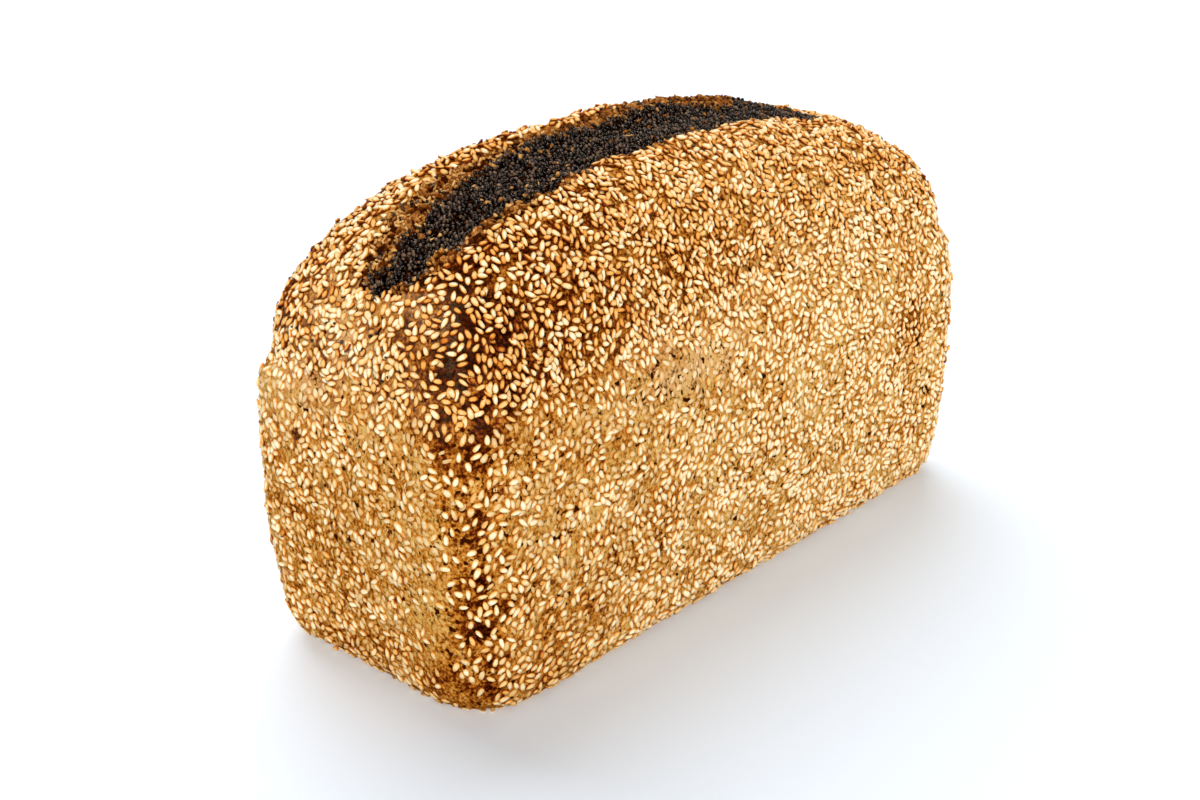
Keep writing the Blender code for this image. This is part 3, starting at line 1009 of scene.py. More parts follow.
@dataclass
class ToppingTree:
    """A Geometry Nodes tree that lays one seed form on every point of a layout.

    Attributes:
        name: The tree's name.
        segments: Faces round the seed.
        rings: Rows of faces along it.
        taper: How much narrower the pointed end is.
        flatness: Power of the cross-section, under 1 for flat faces.
        tip: How much longer the pointed end is.
        crinkle: Depth of the small unevenness.
        crinkle_size: Width of it.
    """

    name: str
    segments: int = 6
    rings: int = 5
    taper: float = 0.25
    flatness: float = 0.85
    tip: float = 0.04
    crinkle: float = 0.00006
    crinkle_size: float = 0.0011

    def build(self) -> tuple[bpy.types.NodeTree, dict[str, str]]:
        """Make the tree.

        Returns:
            The tree, and its inputs' identifiers by name.
        """
        tree = bpy.data.node_groups.new(self.name, "GeometryNodeTree")
        kinds = {"Geometry": "Geometry", "Length": "Float", "Width": "Float", "Thickness": "Float"}
        kinds.update({"Crinkle": "Float", "Finish": "Material"})
        names = {}
        for label, kind in kinds.items():
            made = tree.interface.new_socket(label, in_out="INPUT", socket_type="NodeSocket" + kind)
            names[label] = made.identifier
        tree.interface.new_socket("Geometry", in_out="OUTPUT", socket_type="NodeSocketGeometry")
        make = TreeBuilder(tree)
        given = make.node("NodeGroupInput").outputs
        facing, size = (
            make.out("GeometryNodeInputNamedAttribute", {"Name": name}, data_type="FLOAT_VECTOR")
            for name in ("facing", "size")
        )
        seats = {"Points": given["Geometry"], "Instance": self.form(make, given)}
        seats.update({"Rotation": make.out("FunctionNodeEulerToRotation", {0: facing}), "Scale": size})
        laid = make.out("GeometryNodeInstanceOnPoints", seats)
        real = make.out("GeometryNodeRealizeInstances", {0: laid})
        lumps = make.node("ShaderNodeTexNoise", {"Scale": 1.0 / self.crinkle_size, "Detail": 1.0})
        middle = {0: lumps.outputs["Color"], 1: (0.5, 0.5, 0.5)}
        centred = make.out("ShaderNodeVectorMath", middle, operation="SUBTRACT")
        scaled = make.out("ShaderNodeVectorMath", {0: centred, "Scale": given["Crinkle"]}, operation="SCALE")
        uneven = make.out("GeometryNodeSetPosition", {"Geometry": real, "Offset": scaled})
        done = make.out("GeometryNodeSetMaterial", {"Geometry": uneven, "Material": given["Finish"]})
        make.node("NodeGroupOutput", {0: done})
        return tree, names

    def form(self, make: TreeBuilder, given: Sequence[Socket]) -> Socket:
        """Make one seed along X, pointed at +X.

        Args:
            make: The tree's builder.
            given: The tree's inputs.

        Returns:
            The seed's geometry.
        """
        sizes = {"Segments": self.segments, "Rings": self.rings, "Radius": 1.0}
        seed = make.out("GeometryNodeMeshUVSphere", sizes)
        seat = make.out("GeometryNodeInputPosition")
        across, high, along = make.node("ShaderNodeSeparateXYZ", {0: seat}).outputs
        # The sesame finish reads seed_crown for its painted highlight on the crown and painted shade down
        # the flanks.
        for name, value in (("seed_along", along), ("seed_crown", high)):
            marks = {"Geometry": seed, "Name": name, "Value": value}
            seed = make.out("GeometryNodeStoreNamedAttribute", marks, data_type="FLOAT", domain="POINT")
        narrow = make.math("SUBTRACT", 1.0, make.times(along, self.taper))
        steep = make.math("POWER", make.math("ABSOLUTE", high), self.flatness)
        flat = make.times(make.math("SIGN", high), steep)
        sharp = make.math("POWER", make.math("MAXIMUM", along, 0.0), 4.0)
        point = make.add(along, make.times(sharp, self.tip))
        halves = {"Length": point, "Width": across, "Thickness": flat}
        long, wide, thick = (make.times(make.times(v, 0.5), given[label]) for label, v in halves.items())
        axes = {0: long, 1: make.times(wide, narrow), 2: make.times(thick, narrow)}
        shape = make.out("ShaderNodeCombineXYZ", axes)
        moved = make.out("GeometryNodeSetPosition", {"Geometry": seed, "Position": shape})
        return make.out("GeometryNodeSetShadeSmooth", {0: moved})

    @staticmethod
    def facing(layout: Layout) -> Points:
        """Turn a layout's normals, spins and tilts into rotations.

        Args:
            layout: Where the toppings lie.

        Returns:
            One row of Euler angles a topping.
        """
        along = heading(tangent_frame(layout.normals), layout.spins)
        side = unit(np.cross(layout.normals, along))
        along, side = (
            axis * np.cos(lean)[:, None] + layout.normals * np.sin(lean)[:, None]
            for axis, lean in zip((along, side), layout.tilts.T)
        )
        up = unit(np.cross(along, side))
        side = np.cross(up, along)
        return np.array([Matrix(axes).transposed().to_euler() for axes in zip(along, side, up)])

    def lay(
        self, name: str, layout: Layout, extra: dict[str, Points], size: Row, material: bpy.types.Material
    ) -> Piece:
        """Lay the seed form on a layout and make it a plain mesh.

        Args:
            name: The piece's name.
            layout: Where the toppings lie.
            extra: Further numbers for each topping, by name.
            size: Length, width and thickness of a topping.
            material: Its finish.

        Returns:
            The toppings as one object at the origin.
        """
        mesh = bpy.data.meshes.new(name)
        seats = layout.points + layout.normals * layout.lifts[:, None]
        mesh.from_pydata(seats.tolist(), [], [])
        store(mesh, {"facing": self.facing(layout), "size": layout.sizes, **extra})
        piece = place(name, mesh)
        tree, inputs = self.build()
        modifier = piece.modifiers.new("toppings", "NODES")
        modifier.node_group = tree
        for label, value in zip(("Length", "Width", "Thickness", "Crinkle"), (*size, self.crinkle)):
            modifier[inputs[label]] = value
        modifier[inputs["Finish"]] = material
        bpy.context.view_layer.update()
        plain = bpy.data.meshes.new_from_object(piece.evaluated_get(bpy.context.evaluated_depsgraph_get()))
        piece.modifiers.remove(modifier)
        piece.data = plain
        bpy.data.meshes.remove(mesh)
        places = np.empty(len(plain.vertices) * 3, np.float32)
        plain.vertices.foreach_get("co", places)
        places[2::3] = np.maximum(places[2::3], FLOOR_GAP)
        plain.vertices.foreach_set("co", places)
        return piece


@dataclass
class Topping:
    """Small things spread over the crust so that they lie close but apart.

    Attributes:
        skin: The crust that they lie on.
        random: The seeded source of every draw.
    """

    skin: CrustSkin
    random: np.random.Generator

    def candidates(self, count: int, wanted: Callable[[Points], Points]) -> tuple[Points, Points]:
        """Draw places evenly over the wanted area.

        Args:
            count: How many places to draw.
            wanted: Reads which places count, as True or False.

        Returns:
            The places and their normals.
        """
        points = self.skin.points
        quads = np.array([face for face in self.skin.faces if len(face) == 4])
        quads = quads[wanted(points[quads].mean(axis=1))]
        a, b, c, d = (points[quads[:, k]] for k in range(4))
        areas = 0.5 * np.linalg.norm(np.cross(c - a, d - b), axis=1)
        quads = quads[self.random.choice(len(quads), size=count, p=areas / areas.sum())]
        u, v = self.random.random((2, count, 1))
        return self.within(points, quads, u, v), unit(self.within(self.skin.normals, quads, u, v))

    @staticmethod
    def within(values: Points, quads: Points, u: Points, v: Points) -> Points:
        """Bilinear values inside quads.

        Args:
            values: One row a vertex.
            quads: Rows of four vertices.
            u: Shares from the first to the second corner.
            v: Shares from there to the other two.

        Returns:
            One row a quad.
        """
        low = values[quads[:, 0]] * (1 - u) + values[quads[:, 1]] * u
        high = values[quads[:, 3]] * (1 - u) + values[quads[:, 2]] * u
        return low * (1 - v) + high * v

    @staticmethod
    def keep_apart(places: Points, spacing: Points | float) -> list[int]:
        """Keep places that stand far enough from those already kept.

        Args:
            places: Candidate places, in the order they are tried.
            spacing: The least distance that each one needs.

        Returns:
            Numbers of the kept places.
        """
        spacing = np.broadcast_to(spacing, len(places))
        cells = np.floor(places / float(spacing.max())).astype(int)
        around = [(i, j, k) for i in (-1, 0, 1) for j in (-1, 0, 1) for k in (-1, 0, 1)]
        grid: dict[tuple[int, int, int], list[int]] = {}
        kept = []
        for number, (cell, need) in enumerate(zip(map(tuple, cells), spacing)):
            near = (grid.get((cell[0] + i, cell[1] + j, cell[2] + k), ()) for i, j, k in around)
            close = [other for group in near for other in group]
            if close and np.min(np.sum((places[close] - places[number]) ** 2, axis=1)) < need * need:
                continue
            grid.setdefault(cell, []).append(number)
            kept.append(number)
        return kept

    def normal(self, spread: float, *shape: int) -> Points:
        """Draws round 0 with a spread."""
        return self.random.normal(0, spread, shape)


class Zone(Enum):
    """Where on the loaf a kind of sesame lies."""

    CUT_WALL = "sesame_cut_side_wall"
    BACK_WALL = "sesame_back_wall"
    ENDS = "sesame_end_walls"
    CUT_SLOPE = "sesame_cut_side_slope"
    BACK_SLOPE = "sesame_back_slope"
    BASE = "sesame_base"


@dataclass
class SesameCoat(Topping):
    """Sesame seeds all over the loaf, one piece for each zone."""

    size: Row = (0.0029, 0.00168, 0.00112)
    wall_spacing: float = 0.00168
    dome_spacing: float = 0.00142
    base_spacing: float = 0.0027
    tries: int = 70000
    base_tries: int = 6000
    least_height: float = 0.0012
    spacing_edge: Row = (0.080, 0.092)
    lift_edge: Row = (0.078, 0.094)
    toast_edge: Row = (0.080, 0.100)
    thin_widening: float = 0.75
    missing_share: float = 0.35
    missing_anyway: float = 0.02
    bare_share: float = 0.5
    bare_edge: Row = (0.8, 0.95)
    wall_lift: float = -0.00006
    dome_lift: float = 0.00028
    lift_stray: float = 0.00019
    stack_lift: float = 0.75
    stack_share: float = 0.5
    stack_rise: Row = (0.4, 0.6)
    heaps: Cloud = Cloud(1.0, 0.009, 2, (0.7, 0, 0.2))
    heap_edge: Row = (-0.1, 0.4)
    heap_rise: Row = (0.15, 0.85)
    upper_share: float = 0.16
    upper_spacing: float = 0.0030
    upper_lift: float = 0.00062
    sink_depth: float = 0.00036
    wall_tilt: float = math.radians(8)
    dome_tilt: float = math.radians(16)
    size_strays: Row = (0.11, 0.11, 0.12)
    size_limits: Row = (0.68, 1.28)
    base_size_stray: float = 0.08
    slope_split: float = 0.002
    toast_stray: Row = (0.17, 0.09)
    odd_share: float = 0.07
    odd_toast: Row = (0.15, 0.55)
    film_lifts: Row = (0.00006, -0.00034)
    base_film: float = 0.5

    def wanted(self, points: Points) -> Points:
        """Which places carry sesame."""
        return (self.skin.cut.torn(points) < 0.5) & (points[:, 2] > self.least_height)

    def scatter(self) -> Layout:
        """Spread the seeds over walls and dome.

        Returns:
            Their layout.
        """
        places, normals = self.candidates(self.tries, self.wanted)
        thin = self.skin.bake.thin(places)
        dome = smooth_step(*self.spacing_edge, places[:, 2])
        spacing = part_way(self.wall_spacing, self.dome_spacing, dome)
        kept = np.array(self.keep_apart(places, spacing / np.sqrt(1 - self.thin_widening * thin)))
        missing = self.missing_share * thin + self.missing_anyway
        missing = missing + self.bare_share * smooth_step(*self.bare_edge, thin)
        kept = kept[self.random.random(len(kept)) > missing[kept]]
        low = self.nest(places[kept], normals[kept])
        rise = self.heap_rise[0] + self.heap_rise[1] * dome
        heaps = smooth_step(*self.heap_edge, self.heaps.at(places)) * rise
        above = self.random.random(len(places)) < self.upper_share * heaps * (1 - thin)
        places, normals = places[above], normals[above]
        kept = self.keep_apart(places, self.upper_spacing)
        high = self.nest(places[kept], normals[kept])
        high.lifts[:] = high.lifts + self.upper_lift
        return low.joined(high)

    def nest(self, places: Points, normals: Points) -> Layout:
        """Turn, tilt and lift the seeds.

        Args:
            places: Where they lie.
            normals: The crust's normals there.

        Returns:
            Their layout.
        """
        count = len(places)
        spins, depth = SeedNest(*self.size[:2]).turn(places, normals, self.random)
        dome = smooth_step(*self.lift_edge, places[:, 2])
        tilts = self.normal(1, count, 2) * part_way(self.wall_tilt, self.dome_tilt, dome)[:, None]
        lift = part_way(self.wall_lift, self.dome_lift, dome) + self.normal(self.lift_stray, count)
        lift = lift - self.sink_depth * self.skin.bake.sinking(places)
        stacked = self.random.random(count) < self.stack_share
        rise = self.stack_rise[0] + self.stack_rise[1] * dome
        lift = lift + self.stack_lift * depth * stacked * rise
        sizes = np.clip(1 + self.normal(1, count, 3) * np.array(self.size_strays), *self.size_limits)
        return Layout(places, normals, spins, sizes, tilts, lift)

    def scatter_base(self) -> Layout:
        """Press seeds into the flat base.

        Returns:
            Their layout.
        """
        form, count, lift = self.skin.form, self.base_tries, self.skin.base_lift
        half_length = form.length / 2 - form.end_pull[1] - form.base_edge_radius
        half_width = form.width / 2 - form.side_pull[1] - form.base_edge_radius
        x, y = (self.random.uniform(-half, half, count) for half in (half_length, half_width))
        places = np.column_stack((x, y, np.full(count, lift)))
        places = places[self.keep_apart(places, self.base_spacing)]
        normals = np.tile((0.0, 0.0, -1.0), (len(places), 1))
        spins, _ = SeedNest(*self.size[:2]).turn(places, normals, self.random)
        sizes = 1 + self.normal(self.base_size_stray, len(places), 3)
        sizes[:, 2] = np.minimum(sizes[:, 2], 1.0)
        lifts = lift - self.size[2] / 2 * sizes[:, 2] - FLOOR_GAP
        return Layout(places, normals, spins, sizes, np.zeros((len(places), 2)), lifts)

    def zone_of(self, layout: Layout) -> Points:
        """Sort seeds into zones.

        Args:
            layout: All seeds on walls and dome.

        Returns:
            The zone of each seed.
        """
        x, y, z = layout.points.T
        on_dome = z > self.skin.bake.rim_height
        zones = np.full(len(x), Zone.CUT_WALL, object)
        zones[y > 0] = Zone.BACK_WALL
        zones[np.abs(layout.normals[:, 0]) > np.abs(layout.normals[:, 1])] = Zone.ENDS
        zones[on_dome & (y <= self.slope_split)] = Zone.CUT_SLOPE
        zones[on_dome & (y > self.slope_split)] = Zone.BACK_SLOPE
        return zones

    def colours(self, layout: Layout) -> dict[str, Points]:
        """Colour numbers of seeds.

        Args:
            layout: Where they lie.

        Returns:
            Toast, singe, flour and film of dough of each seed, by name.
        """
        points, count, bake = layout.points, len(layout.points), self.skin.bake
        stray = self.toast_stray[0] + self.toast_stray[1] * smooth_step(*self.toast_edge, points[:, 2])
        toast = bake.toast(points) + self.normal(1, count) * stray
        odd = self.random.random(count) < self.odd_share
        toast = np.where(odd, toast + self.random.uniform(*self.odd_toast, count), toast)
        film = smooth_step(*self.film_lifts, layout.lifts)
        film = np.where(layout.normals[:, 2] < -0.5, self.base_film, film)
        baked = {"singe": bake.roast(points), "flour": bake.flour(points)}
        return {"toast": np.clip(toast, 0, 1), "film": film, **baked}

    def build(self, material: bpy.types.Material) -> list[Piece]:
        """Make every zone's seeds.

        Args:
            material: The seeds' finish.

        Returns:
            One object for each zone.
        """
        layout = self.scatter()
        zones, colours = self.zone_of(layout), self.colours(layout)
        recipe = ToppingTree("sesame_on_crust")
        pieces = []
        for zone in [zone for zone in Zone if zone is not Zone.BASE]:
            here = zones == zone
            extra = {name: values[here] for name, values in colours.items()}
            pieces.append(recipe.lay(zone.value, layout.pick(here), extra, self.size, material))
        base, recipe = self.scatter_base(), ToppingTree("sesame_in_base", rings=4, crinkle=0.00002)
        pieces.append(recipe.lay(Zone.BASE.value, base, self.colours(base), self.size, material))
        return pieces


@dataclass
class PoppyBand(Topping):
    """Poppy seeds packed into the opened cut, and a few strays."""

    size: Row = (0.00124, 0.00098, 0.00092)
    spacing: float = 0.00092
    tries: int = 20000
    stray_tries: int = 4000
    second_layer: float = 0.30
    edge: float = 0.0006
    margin: float = 0.0012
    holes: Cloud = Cloud(1.0, 0.0042, 2, (0.2, 0.2, 0))
    hole_edge: Row = (0.62, 0.42)
    lift_shares: Row = (0.30, 1.0, 0.5)
    lift_stray: float = 0.00010
    upper_shift: float = 0.0004
    tilt_stray: float = 0.5
    size_stray: float = 0.09
    size_limits: Row = (0.75, 1.25)
    stray_height: float = 0.085
    stray_reach: float = 0.004
    stray_share: float = 0.60
    beside_share: float = 0.15
    gaps: tuple[Patch, ...] = patches(
        (-41.5, -1.2, 128, 5, 2.2, 6, 0.75),
        (-27.7, 1.9, 128, 5, 2, 6, 0.6),
        (-80, -8, 121, 3, 3, 6, 0.3),
    )
    strays: tuple[Patch, ...] = patches(
        (-108, -2, 95.5, 5, 16, 3.5, 1.2),
        (-99.7, -11.7, 107.5, 1.6, 1.8, 2, 4),
        (-98.5, 1.5, 110, 2.2, 2.6, 2.5, 4.5),
        (-94.5, 4.4, 114, 3.2, 1.5, 3, 7),
        (-84.5, 9.3, 121, 4, 1.4, 2.5, 2.5),
        (-70, 6, 125, 20, 4, 6, 1),
    )

    def scatter(self) -> Layout:
        """Pack the band and drop the strays.

        Returns:
            The layout of every poppy seed.
        """
        cut, levels = self.skin.cut, [self.size[2] * share for share in self.lift_shares]
        places, normals = self.candidates(self.tries, lambda p: cut.inside(p) > -self.margin)
        inside = cut.inside(places)
        holes = self.holes.at(places) + total(self.gaps, places)
        chance = smooth_step(-self.edge, self.edge, inside) * smooth_step(*self.hole_edge, holes)
        lucky = self.random.random(len(places)) < chance
        places, normals = places[lucky], normals[lucky]
        kept = self.keep_apart(places, self.spacing)
        places, normals = places[kept], normals[kept]
        lifts = np.full(len(places), levels[0]) + self.normal(self.lift_stray, len(places))
        above = self.random.random(len(places)) < self.second_layer
        middle = above & (cut.inside(places) > self.margin)
        shift = self.normal(self.upper_shift, int(middle.sum()), 3)
        upper = places[middle] + shift - normals[middle] * np.sum(shift * normals[middle], axis=1)[:, None]
        loose, loose_normals = self.stray_places()
        lifts = np.concatenate((lifts, np.full(len(upper), levels[1]), np.full(len(loose), levels[2])))
        places = np.concatenate((places, upper, loose))
        normals = np.concatenate((normals, normals[middle], loose_normals))
        count = len(places)
        spins = self.random.uniform(0, 2 * math.pi, count)
        tilts = self.normal(self.tilt_stray, count, 2)
        sizes = np.clip(1 + self.normal(self.size_stray, count, 3), *self.size_limits)
        return Layout(places, normals, spins, sizes, tilts, lifts)

    def stray_places(self) -> tuple[Points, Points]:
        """Loose poppy seeds on the crust near the band.

        Returns:
            Their places and normals.
        """
        places, normals = self.candidates(self.stray_tries, lambda p: p[:, 2] > self.stray_height)
        beside = bell(self.skin.cut.inside(places), self.stray_reach)
        chance = total(self.strays, places) * self.stray_share + self.beside_share * beside
        lucky = self.random.random(len(places)) < chance
        return places[lucky], normals[lucky]

    def build(self, material: bpy.types.Material) -> Piece:
        """Make the poppy seeds.

        Args:
            material: Their finish.

        Returns:
            All poppy seeds as one object.
        """
        layout = self.scatter()
        extra = {"toast": self.random.random(len(layout.points))}
        recipe = ToppingTree("poppy_in_cut", 6, 4, 0.12, 1.0, crinkle=0.00012, crinkle_size=0.0005)
        return recipe.lay("poppy_seeds", layout, extra, self.size, material)


@dataclass(frozen=True)
class Shred:
    """A kind of torn dough.

    Attributes:
        size: Length, width and thickness.
        tries: How many places are drawn.
        in_band: Chance of a place among the poppy seeds.
        growth: Mean and spread of the logarithm of its size shares.
        limits: Least and greatest size share.
        lifts: Height of its middle among the poppy seeds, and beside them.
        toasting: The two powers of the beta draw for its toast.
    """

    size: Row
    tries: int
    in_band: float
    growth: Row
    limits: Row
    lifts: Row
    toasting: Row


@dataclass
class TornDough(Topping):
    """Crumbs and threads of dough that stand in the torn part of the cut."""

    crumb: Shred = Shred(
        (0.0017, 0.0012, 0.0010), 11000, 0.012, (-0.20, 0.40), (0.35, 1.8), (0.0009, 0.0002), (1.3, 2.1)
    )
    thread: Shred = Shred(
        (0.0025, 0.00045, 0.00040), 230, 0.03, (-0.15, 0.35), (0.4, 1.7), (0.0011, 0.0005), (1.3, 2.2)
    )
    spacing: float = 0.00088
    crumb_tilt: float = 0.55
    thread_turn: float = 0.6
    thread_tilts: Row = (0.35, 0.2)
    clumps: Cloud = Cloud(1.0, 0.0030, 2, (0.5, 0.5, 0))
    clump_edge: Row = (-0.04, 0.20)
    clump_share: float = 0.90
    even_share: float = 0.45
    least_torn: float = 0.4
    band_edge: float = 0.0004
    darker: float = 0.35

    def strew(self, kind: Shred) -> tuple[Points, Points, Points, Points]:
        """Draw places and sizes in the torn dough.

        Args:
            kind: What lies there.

        Returns:
            The places, their normals, the size shares and the lifts.
        """
        cut = self.skin.cut
        places, normals = self.candidates(kind.tries, lambda p: cut.torn(p) > self.least_torn)
        clumps = self.clump_share * smooth_step(*self.clump_edge, self.clumps.at(places))
        chance = self.even_share + (clumps - self.even_share) * cut.ripped(places)
        chance = np.where(cut.inside(places) > self.band_edge, kind.in_band, chance)
        lucky = self.random.random(len(places)) < chance
        places, normals = places[lucky], normals[lucky]
        kept = self.keep_apart(places, self.spacing)
        places, normals = places[kept], normals[kept]
        sizes = np.clip(self.random.lognormal(*kind.growth, (len(places), 3)), *kind.limits)
        return places, normals, sizes, np.where(cut.inside(places) > self.band_edge, *kind.lifts)

    def crumbs(self, material: bpy.types.Material) -> Piece:
        """Make the crumbs.

        Args:
            material: Their finish.

        Returns:
            All crumbs as one object.
        """
        places, normals, sizes, lifts = self.strew(self.crumb)
        count = len(places)
        spins = self.random.uniform(0, 2 * math.pi, count)
        tilts = self.normal(self.crumb_tilt, count, 2)
        layout = Layout(places, normals, spins, sizes, tilts, lifts)
        darker = self.darker * (1 - self.skin.cut.ripped(places))
        extra = {"toast": np.clip(self.random.beta(*self.crumb.toasting, count) + darker, 0, 1)}
        recipe = ToppingTree("torn_crumbs", 6, 4, 0.25, 1.0, 0.0, 0.0007, 0.0009)
        return recipe.lay("torn_crumbs", layout, extra, self.crumb.size, material)

    def threads(self, material: bpy.types.Material) -> Piece:
        """Make the threads, which point roughly along the cut or out of it.

        Args:
            material: Their finish.

        Returns:
            All threads as one object.
        """
        places, normals, sizes, lifts = self.strew(self.thread)
        count = len(places)
        spins = math.pi * 0.5 + self.normal(self.thread_turn, count)
        tilts = np.column_stack([self.normal(spread, count) for spread in self.thread_tilts])
        layout = Layout(places, normals, spins, sizes, tilts, lifts)
        extra = {"toast": self.random.beta(*self.thread.toasting, count)}
        recipe = ToppingTree("torn_threads", 6, 7, 0.15, 1.0, 0.0, 0.0009, 0.0013)
        return recipe.lay("torn_threads", layout, extra, self.thread.size, material)


def grain_group() -> bpy.types.NodeTree:
    """A shader group with fine grain for crust, seeds and crumbs.

    Returns:
        The group, with a mask and a height as outputs.
    """
    group = bpy.data.node_groups.new("fine_grain", "ShaderNodeTree")
    face = group.interface
    for label, value in (("Size", 0.001), ("Detail", 3.0)):
        face.new_socket(label, in_out="INPUT", socket_type="NodeSocketFloat").default_value = value
    for label in ("Mask", "Height"):
        face.new_socket(label, in_out="OUTPUT", socket_type="NodeSocketFloat")
    make = TreeBuilder(group)
    given = make.node("NodeGroupInput").outputs
    scale = make.math("DIVIDE", 1.0, given["Size"])
    lumps = make.lumps(Scale=scale, Detail=given["Detail"])
    fine = make.lumps(Scale=make.times(scale, 3.1), Detail=2.0)
    height = make.add(lumps, make.times(fine, 0.4))
    make.node("NodeGroupOutput", {"Mask": make.span(lumps, 0.35, 0.65), "Height": height})
    return group


class Coat(TreeBuilder):
    """A material on one plain shader, with the shared fine grain.

    Attributes:
        material: The material.
        shader: Its shader.
        group: The fine grain group.
    """

    def __init__(self, name: str, roughness: float, gloss: float, group: bpy.types.NodeTree | None) -> None:
        """Start the material.

        Args:
            name: The material's name.
            roughness: Its roughness.
            gloss: Its specular level.
            group: The fine grain group, if it is used.
        """
        self.material = bpy.data.materials.new(name)
        self.material.use_nodes = True
        super().__init__(self.material.node_tree)
        self.shader = self.tree.nodes["Principled BSDF"]
        self.shader.inputs["Roughness"].default_value = roughness
        self.shader.inputs["Specular IOR Level"].default_value = gloss
        self.group = group

    def grain(self, size: float) -> Sequence[Socket]:
        """The fine grain's mask and height, with lumps of a size."""
        return self.node("ShaderNodeGroup", {"Size": size}, node_tree=self.group).outputs

    def done(self, colour: Socket, height: Socket, bump: Row) -> bpy.types.Material:
        """Put colour and bump on the shader.

        Args:
            colour: The colour.
            height: The bump's height.
            bump: Strength and distance of the bump.

        Returns:
            The finished material.
        """
        inputs = {"Strength": bump[0], "Distance": bump[1], "Height": height}
        self.tree.links.new(colour, self.shader.inputs["Base Color"])
        self.tree.links.new(self.out("ShaderNodeBump", inputs), self.shader.inputs["Normal"])
        return self.material


@dataclass(frozen=True)
class CrustFinish:
    """Baked dough between and under the seeds, with painted shade in its pits, slits, torn dips and under
    the poppy seeds.
    """

    pale: Colour = (0.67, 0.385, 0.100, 1.0)
    golden: Colour = (0.51, 0.172, 0.016, 1.0)
    brown: Colour = (0.130, 0.018, 0.0018, 1.0)
    dark: Colour = (0.012, 0.001, 0.0003, 1.0)
    # slit_shade and pit_shade: painted shade for the slits and pits that the bump dents.
    slit_shade: Colour = (0.085, 0.016, 0.0015, 1.0)
    pit_shade: Colour = (0.035, 0.0055, 0.0006, 1.0)
    floury: Colour = (0.83, 0.50, 0.235, 1.0)
    torn_light: Colour = (0.52, 0.225, 0.052, 1.0)
    torn_mid: Colour = (0.17, 0.040, 0.0045, 1.0)
    # torn_dip_shade: near-black in the dips of the ripped dough, painted shade.
    torn_dip_shade: Colour = (0.012, 0.002, 0.0006, 1.0)
    lip: Colour = (0.52, 0.205, 0.042, 1.0)
    # bed: near-black crust under the poppy seeds, painted shade in the gaps between them.
    bed: Colour = (0.002, 0.0006, 0.0003, 1.0)
    roughness: float = 0.75
    gloss: float = 0.0
    grains: Row = (0.0010, 0.0060, 0.0005)
    swings: Row = (0.22, 0.55)
    bump: Row = (0.55, 0.0006)
    dusting: Row = (0.04, 0.90)
    hole_depth: float = 1.4
    pit_scale: float = 430.0
    pit_limit: float = 0.685
    pit_gain: float = 0.09
    pit_edge: float = 0.03
    slit_scale: float = 900.0
    slit_squeeze: Row = (1.0, 1.0, 0.80)
    slit_limits: Row = (0.56, 0.62)
    gather_scale: float = 85.0
    gather_limits: Row = (0.42, 0.62)
    least_gathered: float = 0.60

    def material(self, group: bpy.types.NodeTree) -> bpy.types.Material:
        """Make the finish.

        Args:
            group: The fine grain group.

        Returns:
            The material.
        """
        make = Coat("crust", self.roughness, self.gloss, group)
        fine, coarse, dust = (make.grain(size) for size in self.grains)
        wobble, speck = make.swing(coarse["Mask"], self.swings[0]), make.swing(fine["Mask"], self.swings[1])
        depth = make.add(make.add(make.mask("roast"), wobble), speck, clamp=True)
        stops = ((0.0, self.pale), (0.34, self.golden), (0.66, self.brown), (0.92, self.dark))
        colour = make.ramp(depth, stops)
        dusted = make.add(self.dusting[0], make.times(dust["Mask"], self.dusting[1]))
        colour = make.mix(make.times(make.mask("flour"), dusted), colour, self.floury)
        lip = make.mix(fine["Mask"], self.lip, self.torn_mid)
        colour = make.mix(make.mask("torn"), colour, lip)
        # Ripped dough: colour follows the ridge height, darkest in the dips between the ridges as painted
        # shade, lighter dough on the crests.
        ridge = make.mask("ridge")
        level = make.add(ridge, make.times(fine["Mask"], 0.5))
        stops = ((0.38, self.torn_dip_shade), (0.62, self.torn_mid), (0.95, self.torn_light))
        threads = make.ramp(make.span(level, 0.0, 1.3), stops)
        ripped = make.times(make.math("ABSOLUTE", ridge), 8.0, clamp=True)
        colour = make.mix(ripped, colour, threads)
        # Painted shade: the crust under the poppy seeds turns near-black between them.
        colour = make.mix(make.mask("bed"), colour, self.bed)
        pitted = make.mask("pitted")
        pits, slits = self.pits(make, pitted), self.slits(make, pitted)
        # Painted shade: dark colour laid in the slits and pits, where the bump cuts dents.
        colour = make.mix(slits, colour, self.slit_shade)
        colour = make.mix(pits, colour, self.pit_shade)
        holes = make.times(make.math("MAXIMUM", pits, slits), self.hole_depth)
        return make.done(colour, make.math("SUBTRACT", fine["Height"], holes), self.bump)

    def pits(self, make: TreeBuilder, often: Socket) -> Socket:
        """Small pits, painted dark as shade in the dents of the bump, here and there.

        Args:
            make: The material's builder.
            often: Where they are frequent, 0 to 1.

        Returns:
            A mask of the pits.
        """
        lumps = make.lumps(Scale=self.pit_scale, Detail=1.0, Roughness=0.5)
        limit = make.math("SUBTRACT", self.pit_limit, make.times(often, self.pit_gain))
        return make.span(lumps, limit, make.add(limit, self.pit_edge))

    def slits(self, make: TreeBuilder, often: Socket) -> Socket:
        """Small dark slits and gaps, painted shade in the dents of the bump, gathered in a few places.

        Args:
            make: The material's builder.
            often: Where they are frequent, 0 to 1.

        Returns:
            A mask of the slits.
        """
        drawn = make.out("ShaderNodeMapping", {"Vector": make.seat(), "Scale": self.slit_squeeze})
        fine = make.lumps(Vector=drawn, Scale=self.slit_scale, Detail=2.0, Roughness=0.6)
        wide = make.lumps(Scale=self.gather_scale, Detail=2.0)
        gathered = make.math("MAXIMUM", make.span(wide, *self.gather_limits), often)
        there = make.math("MAXIMUM", gathered, self.least_gathered)
        return make.times(make.span(fine, *self.slit_limits), there)


